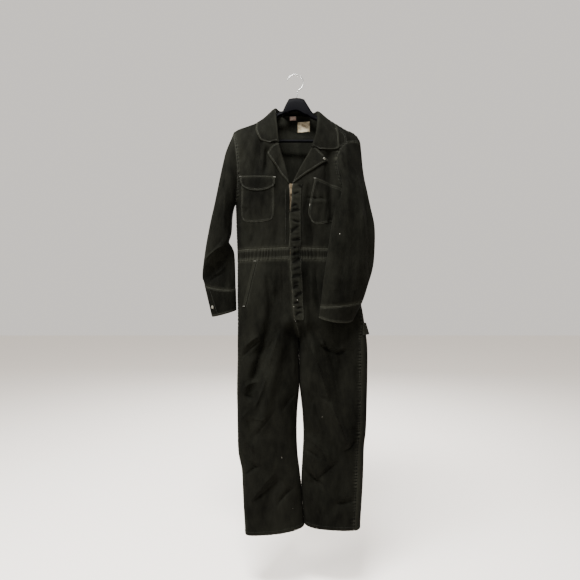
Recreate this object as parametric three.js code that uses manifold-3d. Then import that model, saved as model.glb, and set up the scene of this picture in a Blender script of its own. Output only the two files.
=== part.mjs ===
// A long-sleeved work boiler suit in dark olive drill, hanging open-necked from a moulded hanger.
//
// Millimetres. X runs to the viewer's right, Y away from the viewer and Z up. The origin is the
// underside of the hanger's hook, where the hook bears on a peg, so the tables give heights as
// distances DOWN from there. "right" and "left" in a piece's name are the wearer's, and the
// wearer's right is on the viewer's left (side -1).
//
// Every cloth piece is a wall of one thickness. Its outer face follows a surface that is worked
// out from the tables, and neighbours share that surface's points, drawn apart at the seam.
import * as THREE from 'three';
import { mergeVertices } from 'three/addons/utils/BufferGeometryUtils.js';
import Module from 'manifold-3d';

const RIGHT = -1;
const LEFT = 1;

const CLOTH = 1.6;         // drill of the fronts, back, sleeves and legs
const DOUBLED = 2.2;       // two layers: collar, lapels, cuffs, waistband
const PATCH = 1.2;         // pockets and flap, pressed flat
const SEAM_GAP = 0.3;      // between sewn neighbours
const PATCH_GAP = 0.7;     // under a piece that lies on a panel
const ROUNDNESS = 0.8;     // exponent of the flattened ellipses that the sections follow

const WAIST_TOP = 640;     // down to the top of the waistband at the centre front
const WAIST_DROP = 8;      // the side seams hang this much lower
const BAND_HEIGHT = 42;
const RISE_START = 900;    // the front seam starts to turn under here
const CROTCH = 1000;
const FRONT_ROLL = 110;    // how far down the cloth rolls from the shoulder ridge to the front
const BACK_ROLL = 60;
const ARMPIT_ROW = 0.45;   // share of the bodice's rows that lie below the armpit
const NECK_SHARE = 0.3;    // share of the back's half width where its neckline meets the shoulder
const ZIP_GAP = 6;         // between the two fronts, where the zip shows
const FLY_END = 900;       // down to the lower end of the zip

// Basic curves

const clamp = (x, low = 0, high = 1) => Math.min(high, Math.max(low, x));
const mix = (a, b, t) => a + (b - a) * t;
const smooth = (from, to, x) => {
  const t = clamp((x - from) / (to - from));
  return t * t * (3 - 2 * t);
};
const power = (x) => Math.sign(x) * Math.abs(x) ** ROUNDNESS;
const unpower = (x) => Math.sign(x) * Math.abs(x) ** (1 / ROUNDNESS);
const vector = (x, y, z) => new THREE.Vector3(x, y, z);
const steps = (count, from = 0, to = 1) =>
  Array.from({ length: count + 1 }, (_, k) => mix(from, to, k / count));

// Reads a table: the first column is ascending, the others run smoothly between its rows.
function reader(names, rows) {
  const column = Object.fromEntries(names.map((name, k) => [name, rows.map((row) => row[k])]));
  const keys = column[names[0]];
  const last = keys.length - 1;
  return (name, at) => {
    const value = column[name];
    if (at <= keys[0]) return value[0];
    if (at >= keys[last]) return value[last];
    const k = keys.findIndex((key) => key > at) - 1;
    const slope = (i) => {
      const a = Math.max(0, i - 1);
      const b = Math.min(last, i + 1);
      return (value[b] - value[a]) / (keys[b] - keys[a]);
    };
    const span = keys[k + 1] - keys[k];
    const t = (at - keys[k]) / span;
    const tt = t * t;
    const ttt = tt * t;
    return (2 * ttt - 3 * tt + 1) * value[k] + (ttt - 2 * tt + t) * span * slope(k)
      + (3 * tt - 2 * ttt) * value[k + 1] + (ttt - tt) * span * slope(k + 1);
  };
}

// The trunk: its side edges, the line of the front opening, and how far it stands out
const trunk = reader(['down', 'right', 'left', 'centre', 'front', 'back'], [
  [130, -246, 246, -10, 56, 34],
  [245, -245, 246, -14, 60, 36],
  [345, -235, 242, -18, 62, 38],
  [420, -229, 232, -19, 63, 40],
  [474, -222, 214, -19, 63, 40],
  [560, -219, 206, -20, 62, 40],
  [640, -216, 206, -20, 60, 38],
  [690, -215, 210, -18, 60, 38],
  [760, -215, 225, -14, 62, 42],
  [890, -214, 248, -5, 62, 46],
  [960, -215, 258, 5, 60, 46],
]);

// The legs: outer and inner edge and depth to the front and back of the mid plane
const legs = {
  [RIGHT]: reader(['down', 'outer', 'inner', 'front', 'back'], [
    [640, -216, 4, 60, 38],
    [690, -215, 4, 60, 38],
    [760, -215, 4, 62, 42],
    [890, -214, 8, 62, 46],
    [960, -215, 10, 60, 46],
    [1000, -215, 10.5, 58, 45],
    [1143, -217, 9, 54, 42],
    [1236, -216, 5, 52, 40],
    [1313, -215, 3, 50, 38],
    [1391, -212, 5, 50, 38],
    [1450, -200, 10, 48, 38],
    [1586, -193, 20, 46, 38],
    [1700, -186, 29, 46, 38],
  ]),
  [LEFT]: reader(['down', 'outer', 'inner', 'front', 'back'], [
    [640, 206, 4, 60, 38],
    [690, 210, 4, 60, 38],
    [760, 225, 4, 62, 42],
    [890, 248, 8, 62, 46],
    [960, 258, 10, 60, 46],
    [1007, 263, 11.5, 58, 45],
    [1143, 262, 17, 54, 42],
    [1236, 260, 24, 52, 40],
    [1313, 257, 28, 50, 38],
    [1361, 251, 27, 50, 38],
    [1479, 247, 24, 46, 38],
    [1586, 241, 28, 46, 38],
    [1700, 233, 41, 46, 38],
  ]),
};
const HEM = { [RIGHT]: { outer: 1686, inner: 1653 }, [LEFT]: { outer: 1663, inner: 1648 } };
// Where the outseam runs on each leg's section: 1 is the side edge, less is on the front face
const OUTSEAM = { [RIGHT]: 0.93, [LEFT]: 0.76 };

// The top edge seen from the front: shoulder ridges at the sides, back neckline between them
const ridge = reader(['x', 'down'], [
  [-232, 222], [-225, 211], [-210, 202], [-180, 192], [-140, 177], [-110, 161], [-76, 142],
  [-40, 139], [0, 138], [40, 141], [80, 150], [137, 180], [181, 204], [210, 216], [231, 238],
  [239, 262],
]);
const NECK = { [RIGHT]: -76, [LEFT]: 80 };

// The armhole's four marks, seen from the front: tip, front, pit and back
const armholes = {
  [RIGHT]: { tip: [-232, 222], front: [-213, 345], pit: [-222, 474], back: [-219, 350] },
  [LEFT]: { tip: [239, 262], front: [148, 322], pit: [214, 474], back: [206, 350] },
};

// The free edge of each front: the zip up to the V, then the line on which the lapel rolls
const openings = {
  [RIGHT]: reader(['row', 'x', 'down'], [
    [0, -23, 640], [0.2, -23, 560], [0.45, -23, 462], [0.55, -26, 416], [0.7, -42, 346],
    [0.82, -62, 277], [0.9, -69, 222], [1, -76, 142],
  ]),
  [LEFT]: reader(['row', 'x', 'down'], [
    [0, -17, 640], [0.2, -17, 560], [0.45, -16, 462], [0.55, -12, 416], [0.7, 20, 350],
    [0.82, 58, 282], [0.9, 74, 225], [1, 80, 150],
  ]),
};

// The largest folds: soft ridges (height above 0) and troughs (below 0) along straight lines
const foldColumns = ['x0', 'down0', 'x1', 'down1', 'width', 'height'];
const folds = (rows) => rows.map((row) => Object.fromEntries(
  foldColumns.map((name, k) => [name, row[k]])));
const frontFolds = folds([
  [-150, 190, -196, 330, 13, -9],
  [-128, 250, -150, 380, 11, -8],
  [-100, 290, -112, 378, 9, -8],
  [-62, 330, -66, 620, 16, -7],
  [-176, 570, -166, 640, 14, -5],
  [44, 430, 60, 620, 15, -7],
  [118, 300, 128, 560, 14, -12],
  [-30, 890, -128, 1290, 20, 15],
  [-66, 800, -166, 1180, 16, -10],
  [-110, 720, -118, 930, 16, 7],
  [8, 700, 40, 930, 14, 12],
  [44, 940, 112, 1200, 17, 17],
  [112, 1200, 186, 1352, 17, 15],
  [150, 1010, 196, 1180, 18, -10],
  [60, 1300, 210, 1420, 18, -9],
  [-190, 1040, -110, 1000, 16, -8],
  [-196, 1150, -140, 1120, 14, 7],
  [-200, 1350, -130, 1450, 18, -9],
  [-60, 1450, -110, 1600, 20, -8],
  [40, 1450, 120, 1560, 18, -9],
  [110, 1590, 200, 1540, 18, -8],
]);
const backFolds = folds([
  [-120, 260, -150, 600, 20, 8],
  [110, 260, 130, 600, 20, 8],
  [-8, 300, -12, 600, 24, -7],
  [-120, 800, -150, 1150, 22, 8],
  [130, 800, 170, 1150, 22, 8],
  [-70, 1050, -130, 1400, 20, -8],
  [80, 1050, 150, 1400, 20, -8],
  [-160, 1420, -60, 1500, 20, -7],
  [80, 1500, 190, 1430, 20, -7],
]);

// How far the folds lift the cloth at a place seen from the front or back
function foldAt(list, x, down) {
  let lift = 0;
  for (const f of list) {
    const dx = f.x1 - f.x0;
    const dd = f.down1 - f.down0;
    const length = Math.hypot(dx, dd);
    const along = ((x - f.x0) * dx + (down - f.down0) * dd) / length;
    const beside = ((x - f.x0) * dd - (down - f.down0) * dx) / length;
    const end = f.width * 1.5;
    const fade = smooth(-end, end, along) * smooth(length + end, length - end, along);
    lift += f.height * fade * Math.exp(-((beside / f.width) ** 2));
  }
  return lift;
}

// Surfaces

// How full the trunk is at a place between its centre line and its side edge
function fullness(x, down) {
  const centre = trunk('centre', down);
  const edge = trunk(x < centre ? 'right' : 'left', down);
  const t = clamp(Math.abs((x - centre) / (edge - centre)));
  return (1 - t ** (2 / ROUNDNESS)) ** (ROUNDNESS / 2);
}

// How far the cloth has rolled over the shoulder, 0 on the ridge and 1 once it hangs
const rolled = (below, roll) => Math.sqrt(1 - (1 - clamp(below / roll)) ** 2);

function frontY(x, down) {
  const full = fullness(x, down) * rolled(down - ridge('down', x), FRONT_ROLL);
  return -full * (trunk('front', down) + foldAt(frontFolds, x, down));
}

function backY(x, down) {
  const neck = smooth(77.9, 62, Math.abs(x - 2));
  const over = mix(rolled(down - ridge('down', x), BACK_ROLL), 1, neck);
  return fullness(x, down) * over * (trunk('back', down) + foldAt(backFolds, x, down));
}

// A closed curve through four points, at turn 0 (first), 0.25, 0.5 and 0.75
function loop([a, b, c, d], turn) {
  const cos = power(Math.cos(turn * 2 * Math.PI));
  const sin = power(Math.sin(turn * 2 * Math.PI));
  const square = cos * cos + sin * sin;
  return a.map((_, k) => {
    const spread = (a[k] + c[k] - b[k] - d[k]) / 4;
    return (a[k] + b[k] + c[k] + d[k]) / 4 + cos * (a[k] - c[k]) / 2 + sin * (b[k] - d[k]) / 2
      + spread * (cos * cos - sin * sin) / square;
  });
}

// The armhole seam: turn 0 is the shoulder tip, 0.25 the front, 0.5 the pit, 0.75 the back
function armhole(side, turn) {
  const marks = armholes[side];
  let [x, down] = loop([marks.tip, marks.front, marks.pit, marks.back], turn);
  const onTop = Math.abs(Math.sin(turn * 2 * Math.PI)) < 1e-6;
  if (onTop) return vector(x, 0, -down);
  down = Math.max(down, ridge('down', x) + 0.5);
  const edge = Math.abs(trunk(side === RIGHT ? 'right' : 'left', down)) - 1;
  x = side * Math.min(Math.abs(x), edge, Math.abs(marks.tip[0]));
  const y = turn < 0.5 ? frontY(x, down) : backY(x, down);
  return vector(x, y, -down);
}

// The bodice's own normal beside the armhole
function besideArmhole(side, turn) {
  const p = armhole(side, turn);
  if (turn < 1e-6) return ridgeNormal(p.x);
  if (Math.abs(turn - 0.5) < 1e-6) return vector(side, 0, 0);
  const y = turn < 0.5 ? frontY : backY;
  const facing = turn < 0.5 ? -1 : 1;
  const down = -p.z;
  const slopeX = side * (p.y - y(p.x - side * 2, down)) / 2;
  const slopeDown = (y(p.x, down + 2) - p.y) / 2;
  return vector(-slopeX, 1, slopeDown).multiplyScalar(facing).normalize();
}

// Normals along the armhole. Where the sleeve turns away round a corner the two pieces meet
// in a mitre. Where it folds back over the bodice, or doubles under, each keeps its own.
function armholeNormal(side, turn, piece) {
  const ring = sleeve(side).point;
  const round = ring(turn + STEP, 0).sub(ring(turn - STEP, 0));
  const leaving = ring(turn, 0.1).sub(ring(turn, 0)).normalize();
  const own = round.cross(leaving).multiplyScalar(side).normalize();
  const beside = besideArmhole(side, turn);
  const share = smooth(-0.35, 0.1, own.dot(beside)) * smooth(0.3, 0, leaving.dot(beside));
  const [mine, other] = piece === 'sleeve' ? [own, beside] : [beside, own];
  return mine.clone().addScaledVector(other, share).normalize();
}

const ridgeNormal = (x) => {
  const slope = -(ridge('down', x + 2) - ridge('down', x - 2)) / 4;
  return vector(-slope, 0, 1).normalize();
};

// The bodice's outer edge: side seam from the waist to the pit, then the armhole to the tip
function outerEdge(side, row, half) {
  if (row <= ARMPIT_ROW) {
    const down = mix(WAIST_TOP + WAIST_DROP, armholes[side].pit[1], row / ARMPIT_ROW);
    return { x: trunk(side === RIGHT ? 'right' : 'left', down), down };
  }
  const climb = (row - ARMPIT_ROW) / (1 - ARMPIT_ROW);
  const p = armhole(side, half === 'front' ? 0.5 - climb / 2 : (0.5 + climb / 2) % 1);
  return { x: p.x, down: -p.z };
}

function bodicePlace(inner, outer, across, row) {
  const x = mix(inner.x, outer.x, across);
  const bulge = ridge('down', x) - mix(ridge('down', inner.x), ridge('down', outer.x), across);
  const down = mix(inner.down, outer.down, across) + bulge * smooth(0.86, 1, row);
  return { x, down };
}

// Front bodice: across 0 is the opening and 1 the side, row 0 the waist and 1 the shoulder
function frontBodice(side) {
  const point = (across, row) => {
    const inner = { x: openings[side]('x', row), down: openings[side]('down', row) };
    const { x, down } = bodicePlace(inner, outerEdge(side, row, 'front'), across, row);
    return vector(x, row >= 1 ? 0 : frontY(x, down), -down);
  };
  return { point, fixed: bodiceEdge(side, point, 'front') };
}

function backBodice() {
  const centreDown = (row) => mix(WAIST_TOP, 138, row);
  const point = (across, row) => {
    const side = across < 0 ? RIGHT : LEFT;
    const inner = { x: trunk('centre', centreDown(row)), down: centreDown(row) };
    const outer = outerEdge(side, row, 'back');
    const share = Math.abs(across);
    const place = bodicePlace(inner, outer, share, row);
    const atNeck = bodicePlace(inner, outer, NECK_SHARE, row);
    const hat = share < NECK_SHARE ? share / NECK_SHARE : (1 - share) / (1 - NECK_SHARE);
    const x = place.x + (NECK[side] - atNeck.x) * hat * smooth(0.8, 1, row);
    const down = row >= 1 ? ridge('down', x) : place.down;
    return vector(x, row >= 1 && share >= NECK_SHARE ? 0 : backY(x, down), -down);
  };
  const fixed = (across, row) => {
    const side = across < 0 ? RIGHT : LEFT;
    const p = point(across, row);
    if (row >= 1 && Math.abs(across) < NECK_SHARE) return null;
    return bodiceEdge(side, point, 'back')(Math.abs(across), row, p);
  };
  return { point, fixed };
}

// Normals that neighbours share on the bodice's outer edges
function bodiceEdge(side, point, half) {
  return (across, row, known) => {
    const p = known ?? point(across, row);
    if (across >= 1 && row >= ARMPIT_ROW) {
      const climb = (row - ARMPIT_ROW) / (1 - ARMPIT_ROW);
      return armholeNormal(side, half === 'front' ? 0.5 - climb / 2 : (0.5 + climb / 2) % 1,
        'bodice');
    }
    if (row >= 1) return ridgeNormal(p.x);
    if (across >= 1) return vector(side, 0, 0);
    return null;
  };
}

// Below the waist: around 0 is the centre front or inseam, 1 the side, 2 the centre back
function lowerPoint(side, around, down) {
  const leg = smooth(RISE_START, CROTCH, down);
  const read = legs[side];
  const outer = read('outer', down);
  const inner = read('inner', down);
  const fly = around < 1 ? ZIP_GAP / 2 * smooth(FLY_END + 8, FLY_END - 12, down) : 0;
  const centre = trunk('centre', down) + side * fly;
  const quarter = around * Math.PI / 2;
  const half = around * Math.PI;
  const trunkX = mix(centre, outer, power(Math.sin(quarter)));
  const legX = mix(inner, outer, (1 - power(Math.cos(half))) / 2);
  const x = mix(trunkX, legX, leg);
  const full = mix(power(Math.cos(quarter)), power(Math.sin(half)), leg);
  const front = full > 0;
  const depth = read(front ? 'front' : 'back', down)
    + foldAt(front ? frontFolds : backFolds, x, down);
  return vector(x, -full * depth, -down);
}

function lowerNormal(side, around, down) {
  const leg = smooth(RISE_START, CROTCH, down);
  if (around <= 0) return vector(-side * leg, leg - 1, 0).normalize();
  if (around >= 2) return vector(-side * leg, 1 - leg, 0).normalize();
  const round = lowerPoint(side, around + STEP, down).sub(lowerPoint(side, around - STEP, down));
  const along = lowerPoint(side, around, down + 1).sub(lowerPoint(side, around, down - 1));
  return round.cross(along).multiplyScalar(-side).normalize();
}

// Where a share of the panel's width lies round the section, the side seam being at "seam"
function aroundAt(side, share, seam, down) {
  const leg = smooth(RISE_START, CROTCH, down);
  const onTrunk = Math.asin(unpower(share * power(Math.sin(seam * Math.PI / 2)))) * 2 / Math.PI;
  const legShare = share * (1 - power(Math.cos(seam * Math.PI))) / 2;
  const onLeg = Math.acos(unpower(1 - 2 * legShare)) / Math.PI;
  return share >= 1 ? seam : mix(onTrunk, onLeg, leg);
}

const waistLine = (side, around, height = 0) => {
  const sideways = power(Math.sin(Math.min(around, 2 - around) * Math.PI / 2));
  return WAIST_TOP + WAIST_DROP * sideways + height;
};
const outseamAt = (side, down) => mix(1, OUTSEAM[side], smooth(760, 980, down));

function legPanel(side, half) {
  const place = (across, row) => {
    const start = WAIST_TOP + BAND_HEIGHT;
    const rough = mix(start, HEM[side].outer, row);
    const outseam = outseamAt(side, rough);
    const seam = half === 'front' ? outseam : 2 - outseam;
    const toSide = aroundAt(side, across, Math.min(seam, 1), rough)
      + Math.max(0, seam - 1) * across;
    const around = half === 'front' ? toSide : 2 - toSide;
    const hem = mix(HEM[side].inner, HEM[side].outer, smooth(0, 1, toSide));
    return { around, down: mix(waistLine(side, around, BAND_HEIGHT), hem, row) };
  };
  const point = (across, row) => {
    const { around, down } = place(across, row);
    return lowerPoint(side, around, down);
  };
  const fixed = (across, row) => {
    const { around, down } = place(across, row);
    return lowerNormal(side, around, down);
  };
  return { point, fixed };
}

function band(side, half) {
  const place = (share, row) => {
    const toSide = aroundAt(side, share, 1, WAIST_TOP);
    const around = half === 'front' ? toSide : 2 - toSide;
    return [side, around, waistLine(side, around, BAND_HEIGHT * (1 - row))];
  };
  return {
    point: (share, row) => lowerPoint(...place(share, row)),
    fixed: (share, row) => (share >= 1 ? vector(side, 0, 0) : lowerNormal(...place(share, row))),
  };
}

// Sleeves: outer, front, inner and back mark of each section, from the armhole to the cuff
const sleeveColumns = ['outer', 'front', 'inner', 'back'];
const sleeveRows = {
  [RIGHT]: [
    [[-256, -6, 285], [-232, -52, 370], [-226, -8, 490], [-240, 30, 375]],
    [[-268, -10, 340], [-248, -56, 410], [-230, -12, 510], [-252, 26, 410]],
    [[-281, -14, 408], [-258, -58, 458], [-233, -14, 532], [-258, 22, 458]],
    [[-296, -18, 485], [-268, -58, 515], [-234, -16, 555], [-266, 18, 512]],
    [[-311, -20, 555], [-278, -58, 565], [-235, -18, 577], [-274, 16, 562]],
    [[-325, -20, 628], [-286, -60, 615], [-238, -24, 597], [-282, 16, 612]],
    [[-336, -18, 700], [-291, -60, 662], [-243, -32, 618], [-288, 16, 662]],
    [[-342, -10, 730], [-288, -42, 690], [-232, -12, 640], [-290, 18, 690]],
    [[-343, -4, 752], [-282, -24, 722], [-226, 2, 672], [-284, 26, 722]],
    [[-336, -3, 772], [-274, -28, 790], [-223, 6, 785], [-276, 30, 780]],
    [[-308, -3, 891], [-262, -26, 882], [-221, 8, 868], [-264, 28, 878]],
  ],
  [LEFT]: [
    [[240, -8, 318], [150, -84, 352], [224, -32, 486], [218, 30, 385]],
    [[245, -12, 378], [160, -98, 402], [208, -62, 500], [232, 12, 425]],
    [[257, -18, 435], [176, -106, 455], [152, -80, 508], [226, -14, 470]],
    [[270, -24, 490], [188, -108, 505], [134, -84, 524], [215, -36, 512]],
    [[284, -30, 560], [196, -110, 570], [121, -86, 580], [208, -50, 570]],
    [[284, -34, 640], [194, -112, 652], [109, -90, 660], [198, -58, 650]],
    [[276, -42, 712], [186, -114, 730], [98, -92, 732], [190, -66, 725]],
    [[255, -50, 780], [172, -114, 795], [90, -92, 795], [176, -74, 790]],
    [[237, -52, 832], [158, -112, 846], [84, -92, 848], [162, -78, 842]],
    [[199, -58, 903], [140, -108, 906], [78, -90, 888], [142, -80, 900]],
  ],
};
const CUFF_START = 1;      // sections from the end that belong to the cuff
const GATHERS = 5;         // gathers at the head of the wearer's left sleeve
const GATHER_DEPTH = 4;

function sleeve(side) {
  const head = [0, 0.25, 0.5, 0.75].map((turn) => armhole(side, turn).toArray());
  const sections = sleeveRows[side].map((marks) => marks.map(([x, y, down]) => [x, y, -down]));
  const rows = [head, ...sections];
  const last = rows.length - 1;
  const at = reader(['row', ...sleeveColumns.flatMap((mark) => [0, 1, 2].map((k) => mark + k))],
    rows.map((marks, k) => [k, ...marks.flat()]));
  const smoothPoint = (turn, row) => vector(...loop(
    sleeveColumns.map((mark) => [0, 1, 2].map((k) => at(mark + k, row))), turn));
  const point = (turn, row) => {
    const p = smoothPoint(turn, row);
    if (row < 1) {
      const seam = armhole(side, ((turn % 1) + 1) % 1).sub(smoothPoint(turn, 0));
      p.addScaledVector(seam, (1 - row) ** 2);
    }
    if (side === LEFT) {
      const gathered = smooth(0, 0.6, row) * smooth(5, 1, row);
      const place = clamp(turn / 0.3) * clamp((0.3 - turn) / 0.05);
      const wave = Math.cos(turn / 0.3 * GATHERS * 2 * Math.PI);
      p.y += GATHER_DEPTH * gathered * clamp(place) * wave;
    }
    return p;
  };
  const fixed = (turn, row) =>
    (row === 0 ? armholeNormal(side, ((turn % 1) + 1) % 1, 'sleeve') : null);
  return { point, fixed, last, cuffRow: last - CUFF_START };
}

// Solids

const STEP = 2e-3;

// The outward normal of a surface, unless a seam fixes it. "turned" flips it.
function normalOf(surface, u, v, turned, range) {
  const fixed = surface.fixed?.(u, v);
  if (fixed) return fixed;
  const u0 = Math.max(range.u0, u - STEP);
  const u1 = Math.min(range.u1, u + STEP);
  const v0 = Math.max(range.v0, v - STEP);
  const v1 = Math.min(range.v1, v + STEP);
  const along = surface.point(u1, v).sub(surface.point(u0, v));
  const up = surface.point(u, v1).sub(surface.point(u, v0));
  return along.cross(up).multiplyScalar(turned).normalize();
}

// Points and normals of a surface on a grid, drawn in at the edges to leave the seam gap
function sample(surface, us, vs, options = {}) {
  const { turned = 1, closed = false, inset = SEAM_GAP / 2, last = vs.at(-1) } = options;
  const range = closed
    ? { u0: -Infinity, u1: Infinity, v0: 0, v1: last }
    : { u0: us[0], u1: us.at(-1), v0: vs[0], v1: vs.at(-1) };
  const grid = vs.map((v) => us.map((u) => ({
    p: surface.point(u, v), n: normalOf(surface, u, v, turned, range),
  })));
  const rows = grid.length - 1;
  const columns = us.length - 1;
  const pull = (cell, next) => {
    const way = next.p.clone().sub(cell.p);
    return cell.p.clone().addScaledVector(way.normalize(), inset);
  };
  const moved = grid.map((row, j) => row.map((cell, i) => {
    const p = cell.p.clone();
    if (j === 0) p.add(pull(cell, grid[1][i]).sub(cell.p));
    if (j === rows) p.add(pull(cell, grid[rows - 1][i]).sub(cell.p));
    if (!closed && i === 0) p.add(pull(cell, row[1]).sub(cell.p));
    if (!closed && i === columns) p.add(pull(cell, row[columns - 1]).sub(cell.p));
    return p;
  }));
  return { p: moved, n: grid.map((row) => row.map((cell) => cell.n)), closed };
}

// A closed solid between a grid of points and the same grid moved in by the thickness
function wall({ p, n, closed }, thickness, lift = 0) {
  const rows = p.length;
  const columns = p[0].length;
  const position = [];
  for (const depth of [lift, lift - thickness]) {
    for (let j = 0; j < rows; j += 1) {
      for (let i = 0; i < columns; i += 1) {
        const out = typeof depth === 'function' ? depth(i, j) : depth;
        position.push(...p[j][i].clone().addScaledVector(n[j][i], out).toArray());
      }
    }
  }
  const id = (side, j, i) => side * rows * columns + j * columns + (i % columns);
  const index = [];
  const quad = (a, b, c, d) => index.push(a, b, c, a, c, d);
  const wide = closed ? columns : columns - 1;
  for (let j = 0; j < rows - 1; j += 1) {
    for (let i = 0; i < wide; i += 1) {
      quad(id(0, j, i), id(0, j, i + 1), id(0, j + 1, i + 1), id(0, j + 1, i));
      quad(id(1, j, i), id(1, j + 1, i), id(1, j + 1, i + 1), id(1, j, i + 1));
    }
  }
  for (let i = 0; i < wide; i += 1) {
    quad(id(1, 0, i), id(1, 0, i + 1), id(0, 0, i + 1), id(0, 0, i));
    const top = rows - 1;
    quad(id(0, top, i), id(0, top, i + 1), id(1, top, i + 1), id(1, top, i));
  }
  if (!closed) {
    for (let j = 0; j < rows - 1; j += 1) {
      quad(id(0, j, 0), id(0, j + 1, 0), id(1, j + 1, 0), id(1, j, 0));
      const end = columns - 1;
      quad(id(1, j, end), id(1, j + 1, end), id(0, j + 1, end), id(0, j, end));
    }
  }
  return facingOut(position, index);
}

// A geometry whose faces point out, whichever way the grid ran
function facingOut(position, index) {
  let volume = 0;
  const at = (k) => vector(position[3 * k], position[3 * k + 1], position[3 * k + 2]);
  for (let k = 0; k < index.length; k += 3) {
    volume += at(index[k]).dot(at(index[k + 1]).cross(at(index[k + 2])));
  }
  if (volume < 0) {
    for (let k = 0; k < index.length; k += 3) {
      [index[k], index[k + 1]] = [index[k + 1], index[k]];
    }
  }
  const geometry = new THREE.BufferGeometry();
  geometry.setAttribute('position', new THREE.Float32BufferAttribute(position, 3));
  geometry.setIndex(index);
  return geometry;
}

// Materials

const material = (color, roughness, metalness = 0) =>
  new THREE.MeshStandardMaterial({ color, roughness, metalness });
const drill = material(0x33322b, 0.9);
const brass = material(0x8c7650, 0.45, 0.9);
const steel = material(0xa8a8a4, 0.3, 1);
const snapMetal = material(0x9a988f, 0.4, 0.9);
const plastic = material(0x141318, 0.55);
const labelCloth = material(0xd8cfb4, 0.85);

const suit = new THREE.Group();
function add(name, geometry, finish) {
  const mesh = new THREE.Mesh(geometry, finish);
  mesh.name = name;
  suit.add(mesh);
  return mesh;
}
const sideName = { [RIGHT]: 'right', [LEFT]: 'left' };

// Bodice

const bodiceAcross = [0, 0.05, 0.11, 0.18, 0.24, 0.3, 0.42, 0.54, 0.66, 0.78, 0.88, 0.955, 1];
const sideRows = steps(4, 0, ARMPIT_ROW).slice(0, -1);
const armRows = [0, 0.09, 0.182, 0.3, 0.43, 0.56, 0.69, 0.82, 0.92, 0.975, 1];
const V_ROW = 6;           // the bodice's row at the foot of the V, where the zip stops
const bodiceRows = [...sideRows, ...armRows.map((climb) => mix(ARMPIT_ROW, 1, climb))];
const bodice = {};
for (const side of [RIGHT, LEFT]) {
  bodice[side] = sample(frontBodice(side), bodiceAcross, bodiceRows, { turned: side });
  add(`front_bodice_${sideName[side]}`, wall(bodice[side], CLOTH), drill);
}
const backAcross = [...bodiceAcross.slice(1).map((u) => -u).reverse(), ...bodiceAcross];
const back = sample(backBodice(), backAcross, bodiceRows, { turned: -1 });
add('back_bodice', wall(back, CLOTH), drill);

// Waistband

const bandRows = [0, 1];
const bandFront = {};
for (const side of [RIGHT, LEFT]) {
  bandFront[side] = sample(band(side, 'front'), bodiceAcross, bandRows, { turned: side });
  add(`waistband_front_${sideName[side]}`, wall(bandFront[side], DOUBLED, 0.3), drill);
}
const backHalf = { [RIGHT]: band(RIGHT, 'back'), [LEFT]: band(LEFT, 'back') };
const bandBack = {
  point: (across, row) => backHalf[across < 0 ? RIGHT : LEFT].point(Math.abs(across), row),
  fixed: (across, row) => backHalf[across < 0 ? RIGHT : LEFT].fixed(Math.abs(across), row),
};
add('waistband_back', wall(sample(bandBack, backAcross, bandRows, { turned: -1 }), DOUBLED, 0.3),
  drill);

// Legs

const legRows = [0, 0.04, 0.09, 0.14, 0.18, 0.218, 0.255, 0.29, 0.33, 0.38, 0.44, 0.5, 0.56,
  0.62, 0.68, 0.74, 0.8, 0.86, 0.93, 1];
const leg = {};
for (const side of [RIGHT, LEFT]) {
  for (const half of ['front', 'back']) {
    const turned = half === 'front' ? -side : side;
    leg[side + half] = sample(legPanel(side, half), bodiceAcross, legRows, { turned });
    add(`${half}_leg_${sideName[side]}`, wall(leg[side + half], CLOTH), drill);
  }
}

// Sleeves and cuffs

const frontTurns = armRows.map((climb) => 0.5 - climb / 2).reverse();
const backTurns = armRows.map((climb) => 0.5 + climb / 2);
const turns = [...frontTurns, ...backTurns.slice(1, -1)];
const ARM_INSET = 0.35;    // the sleeve turns sharply at its seams, so it keeps further off them
const cuff = {};
for (const side of [RIGHT, LEFT]) {
  const form = sleeve(side);
  const rows = [0, 0.45, ...steps(form.cuffRow - 1, 1, form.cuffRow)];
  const round = { turned: side, closed: true, inset: ARM_INSET, last: form.last };
  const arm = sample(form, turns, rows, round);
  add(`sleeve_${sideName[side]}`, wall(arm, CLOTH), drill);
  const cuffRows = steps(2, form.cuffRow, form.last);
  cuff[side] = sample(form, turns, cuffRows, { ...round, inset: 0.6 });
  add(`cuff_${sideName[side]}`, wall(cuff[side], DOUBLED, 0.3), drill);
}

// Pieces laid on a panel: the panel's own wall moved out, trimmed to an outline seen from
// the front. Outlines list x and distance down.

const wasm = await Module();
wasm.setup();
const { Manifold, Mesh } = wasm;

function solidOf(geometry) {
  const loose = geometry.index ? geometry.toNonIndexed() : geometry;
  const position = new THREE.BufferGeometry();
  position.setAttribute('position', loose.getAttribute('position'));
  const merged = mergeVertices(position, 1e-3);
  return new Manifold(new Mesh({
    numProp: 3,
    vertProperties: merged.getAttribute('position').array,
    triVerts: new Uint32Array(merged.index.array),
  }));
}

function geometryOf(solid) {
  const mesh = solid.getMesh();
  const position = new Float32Array(mesh.numVert * 3);
  for (let k = 0; k < mesh.numVert; k += 1) {
    position.set(mesh.vertProperties.subarray(k * mesh.numProp, k * mesh.numProp + 3), k * 3);
  }
  const geometry = new THREE.BufferGeometry();
  geometry.setAttribute('position', new THREE.BufferAttribute(position, 3));
  geometry.setIndex(new THREE.BufferAttribute(mesh.triVerts, 1));
  return geometry;
}

const REACH = 200;         // how far a trimming prism runs to the front or back
function trimmed(grid, thickness, lift, outline, toFront = true) {
  const shape = outline.map(([x, down]) => [x, -down]);
  const turned = Manifold.extrude([shape], REACH).rotate([90, 0, 0]);
  const reversed = Manifold.extrude([shape.slice().reverse()], REACH).rotate([90, 0, 0]);
  const prism = turned.volume() > reversed.volume() ? turned : reversed;
  const placed = prism.translate([0, toFront ? 0 : REACH, 0]);
  return geometryOf(solidOf(wall(grid, thickness, lift)).intersect(placed));
}
const over = (levels, thickness) => levels + thickness;

// Chest pockets and flap

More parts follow.
